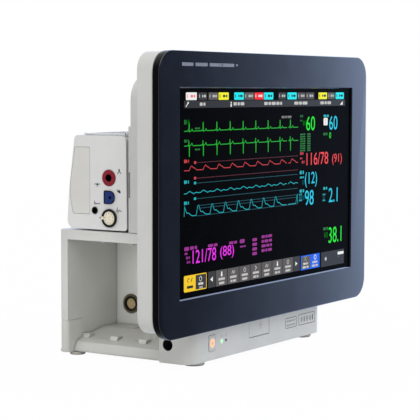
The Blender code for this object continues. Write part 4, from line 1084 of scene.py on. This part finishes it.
def make_labels():
    """A rating plate with greeked rows, symbols by the connectors and a label on the battery."""
    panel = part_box("connector_panel")[1].y
    plate = Sheet("rating_plate", "root", Vector((0, panel + ON_FACE * MM, 0)), LEFT, thick=0.12)
    plate.rect("silver_label", -100, -44, 74, 106, 1.5)
    plate.make()
    rows = Sheet("panel_marks", "root", Vector((0, panel + 0.15 * MM, 0)), LEFT, thick=0.05)
    for row in range(6):
        rows.words("grey_ink", -97, -62 if row % 2 else -54, 77.5 + 4.4 * row, 79.6 + 4.4 * row, 4, row)
    for i in range(9):
        rows.rect("dark_ink", -58 + i * 1.3, -57.3 + i * 1.3, 77.5, 84.0)
    for u, v in ((-94, 71), (-18, 60)):
        rows.arc("grey_ink", u, v, 1.8, 0.4)
    rows.line("grey_ink", ((-62.5, 57), (-57.5, 57)), 0.5)
    rows.line("grey_ink", ((-61.5, 55.6), (-58.5, 55.6)), 0.5)
    rows.line("grey_ink", ((-60, 57), (-60, 60.5)), 0.5)
    rows.make()
    low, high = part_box("module_battery")
    cell = Sheet("battery_label", "measurement_module", Vector((low.x - ON_FACE * MM, 0, 0)), NEARER)
    left, right = -high.y / MM + 2.5, -low.y / MM - 2.5
    cell.rect("silver_label", left, right, 165, 208, 0.8)
    cell.make()
    text = Sheet("battery_rows", "measurement_module", Vector((low.x - 0.1 * MM, 0, 0)), NEARER)
    for row in range(9):
        text.words("grey_ink", left + 1.0, right - 1.0, 168 + 4.2 * row, 169.8 + 4.2 * row, 2, row)
    text.make()
    top_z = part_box("dock_release_button")[1].z
    origin = Vector((0, 0, top_z + ON_FACE * MM))
    top = Sheet("release_symbol", "dock_release_button", origin, RIGHT, BACK)
    u, v = (middle("dock_release_button") / MM).xy
    top.face("white_ink", ((u + 3.5, v - 3.2), (u + 3.5, v + 3.2), (u - 2.2, v)))
    top.rect("white_ink", u - 4.4, u - 3.2, v - 3.2, v + 3.2)
    top.make()


def leaning_face(degrees):
    """The up and outward directions of a rear face that leans forward by some degrees."""
    lean = math.radians(degrees)
    return (0, -math.sin(lean), math.cos(lean)), Vector((0, math.cos(lean), math.sin(lean)))


def make_module_face():
    """The small trend screen and the key symbols on the module's rear face."""
    up, out = leaning_face(SCREEN_LEAN)
    centre = at(-57.0, 166.26, 205.0) - out * 0.48 * MM
    face = Sheet("module_display", "measurement_module", centre, LEFT, up)
    face.rect("cell_bar", -41.0, 41.0, 19.0, 22.5)
    for i in range(4):
        face.words("grey_lit", -38.0 + 20.5 * i, -24.0 + 20.5 * i, 20.0, 21.6, 2, i)
    waves = (("green_line", LEAD_ONE, 8.0), ("red_line", ARTERY, -4.0), ("cyan_line", PLETH, -19.0))
    for ink, shape, level in waves:
        points = [(u, v * 0.8) for u, v in beat_line(-41.0, 14.0, 14.0, -38.0, level / 0.8, shape)]
        face.line(ink, points, 0.6)
    face.number("green_lit", "60", 19.0, 38.0, 6.5, 16.0)
    face.number("red_text", "116/78", 17.0, 40.0, -6.0, 0.5)
    face.number("cyan_text", "98", 19.0, 38.0, -20.0, -10.5)
    face.make()
    up, out = leaning_face(KEY_LEAN)
    for kind, name in ((2, "module_key_left"), (1, "module_key_middle"), (3, "module_key_right")):
        x = middle(name).x / MM
        key = Sheet(name + "_mark", name, at(x, 171.41, 156.0) + out * 0.92 * MM, LEFT, up)
        draw_key_symbol(key, kind, 0.0, 0.0, "white_ink", "white_ink")
        key.make()


def make_speaker_mesh():
    """A woven guard in front of the speaker, behind the side cover's slots."""
    centre = middle("speaker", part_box("speaker")[1].x / MM + 0.25)
    wires = []
    for i in range(-8, 9):
        reach = 2 * math.sqrt(18.0**2 - (i * 2.1) ** 2)
        wires += [((0.3, reach, 0.5), (0, 0, i * 2.1)), ((0.3, 0.5, reach), (0, i * 2.1, 0))]
    mesh = rounded_blocks(wires, 0.1)
    mesh.transform(Matrix.Translation(centre))
    add_piece("speaker_guard", mesh, SCREW_STEEL, "root")


# Studio


FRONT_TINT, BACK_TINT = (0.42, 0.53, 0.78), (0.55, 0.56, 0.58)
FLOOR_GLOW = 0.975  # the share of the floor, as the camera sees it, that is its own light


def make_world():
    """White to the camera, soft light on matt surfaces, and reflections that darken to the front left."""
    world = bpy.data.worlds.new("studio")
    world.use_nodes = True
    bpy.context.scene.world = world
    tree = world.node_tree
    tree.nodes.clear()
    direction = node(tree, "TexCoord").outputs["Generated"]
    parts = node(tree, "SeparateXYZ", {"Vector": direction})
    turn = node(tree, "Math", {0: parts.outputs["Y"], 1: parts.outputs["X"]}, operation="ARCTAN2").outputs[0]
    share = ramp(tree, turn, -math.pi, math.pi, 0.0, 1.0)
    bands = node(tree, "ValToRGB", {"Fac": share})
    stops = (
        (-180, 0.2), (-140, 0.15), (-112, 0.08), (-50, 0.02), (-35.5, 0.03), (-33, 0.13), (-31, 0.4),
        (-28.8, 0.72), (-28.0, 1.15), (-27.5, 2.1), (-26, 2.6), (0, 2.4), (60, 1.1), (120, 0.4), (180, 0.2),
    )
    elements = bands.color_ramp.elements
    while len(elements) > 1:
        elements.remove(elements[-1])
    for i, (degrees, level) in enumerate(stops):
        place = (degrees + 180) / 360
        element = elements[0] if i == 0 else elements.new(place)
        element.position = place
        element.color = shade(FRONT_TINT if -112 < degrees <= 0 else BACK_TINT, level)
    lift = ramp(tree, parts.outputs["Z"], -0.2, 0.1, 1.2, 1.7)
    lifted = node(tree, "VectorMath", {0: bands.outputs["Color"], "Scale": lift}, operation="SCALE")
    mirror = lifted.outputs["Vector"]
    overhead = ramp(tree, parts.outputs["Z"], 0.5, 0.8, 0.0, 1.0)
    mirror = blend_colours(tree, overhead, mirror, (1.5, 1.5, 1.52, 1.0))
    soft = add_lobe(tree, direction, (0.66, 0.67, 0.69), LEFT, (0.33, 0.325, 0.31, 1.0))
    soft = add_lobe(tree, direction, soft, (0.6, -0.8, 0.0), (0.72, 0.74, 0.78, 1.0))
    rays = node(tree, "LightPath")
    seen = blend_colours(tree, rays.outputs["Is Glossy Ray"], soft, mirror)
    seen = blend_colours(tree, rays.outputs["Is Camera Ray"], seen, (1.0, 1.0, 1.0, 1.0))
    background = node(tree, "Background", {"Color": seen})
    output = node(tree, "OutputWorld")
    tree.links.new(background.outputs[0], output.inputs["Surface"])


def add_lobe(tree, direction, base, towards, colour):
    """Adds a broad glow around one direction to a colour."""
    facing = dot_product(tree, direction, towards)
    lit = blend_colours(tree, ramp(tree, facing, 0.0, 1.0, 0.0, 1.0), (0.0, 0.0, 0.0, 1.0), colour)
    return node(tree, "VectorMath", {0: base, 1: lit}, operation="ADD").outputs["Vector"]


def make_floor():
    """A pale floor that is almost shadowless, as a lit table."""
    shape = bmesh.new()
    bmesh.ops.create_circle(shape, cap_ends=True, segments=96, radius=2.5)
    mesh = as_mesh("floor", shape)
    floor = show("floor", mesh)
    floor.location.z = -0.0002
    made, tree, bsdf = start_material("floor_white")
    look = {"Base Color": (0.9, 0.9, 0.9, 1.0), "Roughness": 0.9, "Specular IOR Level": 0.1}
    set_inputs(tree, bsdf, look)
    lit = node(tree, "Emission", {"Color": (1.0, 1.0, 1.0, 1.0), "Strength": 1.0}).outputs[0]
    seen = node(tree, "LightPath").outputs["Is Camera Ray"]
    amount = node(tree, "Math", {0: seen, 1: FLOOR_GLOW}, operation="MULTIPLY").outputs[0]
    mix = node(tree, "MixShader", {0: amount, 1: bsdf.outputs[0], 2: lit})
    tree.links.new(mix.outputs[0], tree.nodes["Material Output"].inputs["Surface"])
    mesh.materials.append(made)
    floor.visible_glossy = False


def area_light(name, position, target, size, power, spread=180):
    light = bpy.data.lights.new(name, "AREA")
    light.size = size
    light.energy = power
    light.spread = math.radians(spread)
    obj = show(name, light)
    obj.visible_camera = False
    obj.visible_glossy = False
    obj.location = position
    obj.rotation_euler = (Vector(target) - Vector(position)).to_track_quat("-Z", "Y").to_euler()


def make_camera():
    """A long lens from the front left, a little above the middle, that looks slightly down."""
    camera = bpy.data.cameras.new("camera")
    camera.lens = 132.857
    camera.sensor_width = 36.0
    camera.clip_end = 20.0
    obj = show("camera", camera)
    yaw, pitch, roll = math.radians(57.01), math.radians(4.42), math.radians(-0.137)
    look = Vector((math.sin(yaw) * math.cos(pitch), math.cos(yaw) * math.cos(pitch), -math.sin(pitch)))
    right = look.cross(Vector((0, 0, 1))).normalized()
    up = right.cross(look)
    right, up = right * math.cos(roll) - up * math.sin(roll), up * math.cos(roll) + right * math.sin(roll)
    place = Matrix((right, up, -look)).transposed().to_4x4()
    place.translation = Vector((-1.4221, -0.9335, 0.2822))
    obj.matrix_world = place
    bpy.context.scene.camera = obj


finish_cad_nodes()
make_screen()
make_lamp_marks()
make_chin_marks()
make_rack_contacts()
make_module_sockets()
make_module_marks()
make_dock_strip()
make_screws()
make_connectors()
make_labels()
make_module_face()
make_speaker_mesh()
make_world()
make_floor()
area_light("key", (-1.6, -1.4, 1.9), (0, 0, 0.15), 1.4, 12.0)
area_light("bay_fill", (-0.42, 0.02, 0.08), (-0.05, 0.03, 0.07), 0.06, 0.011, 26)
make_camera()
bpy.context.scene.view_settings.view_transform = "Standard"
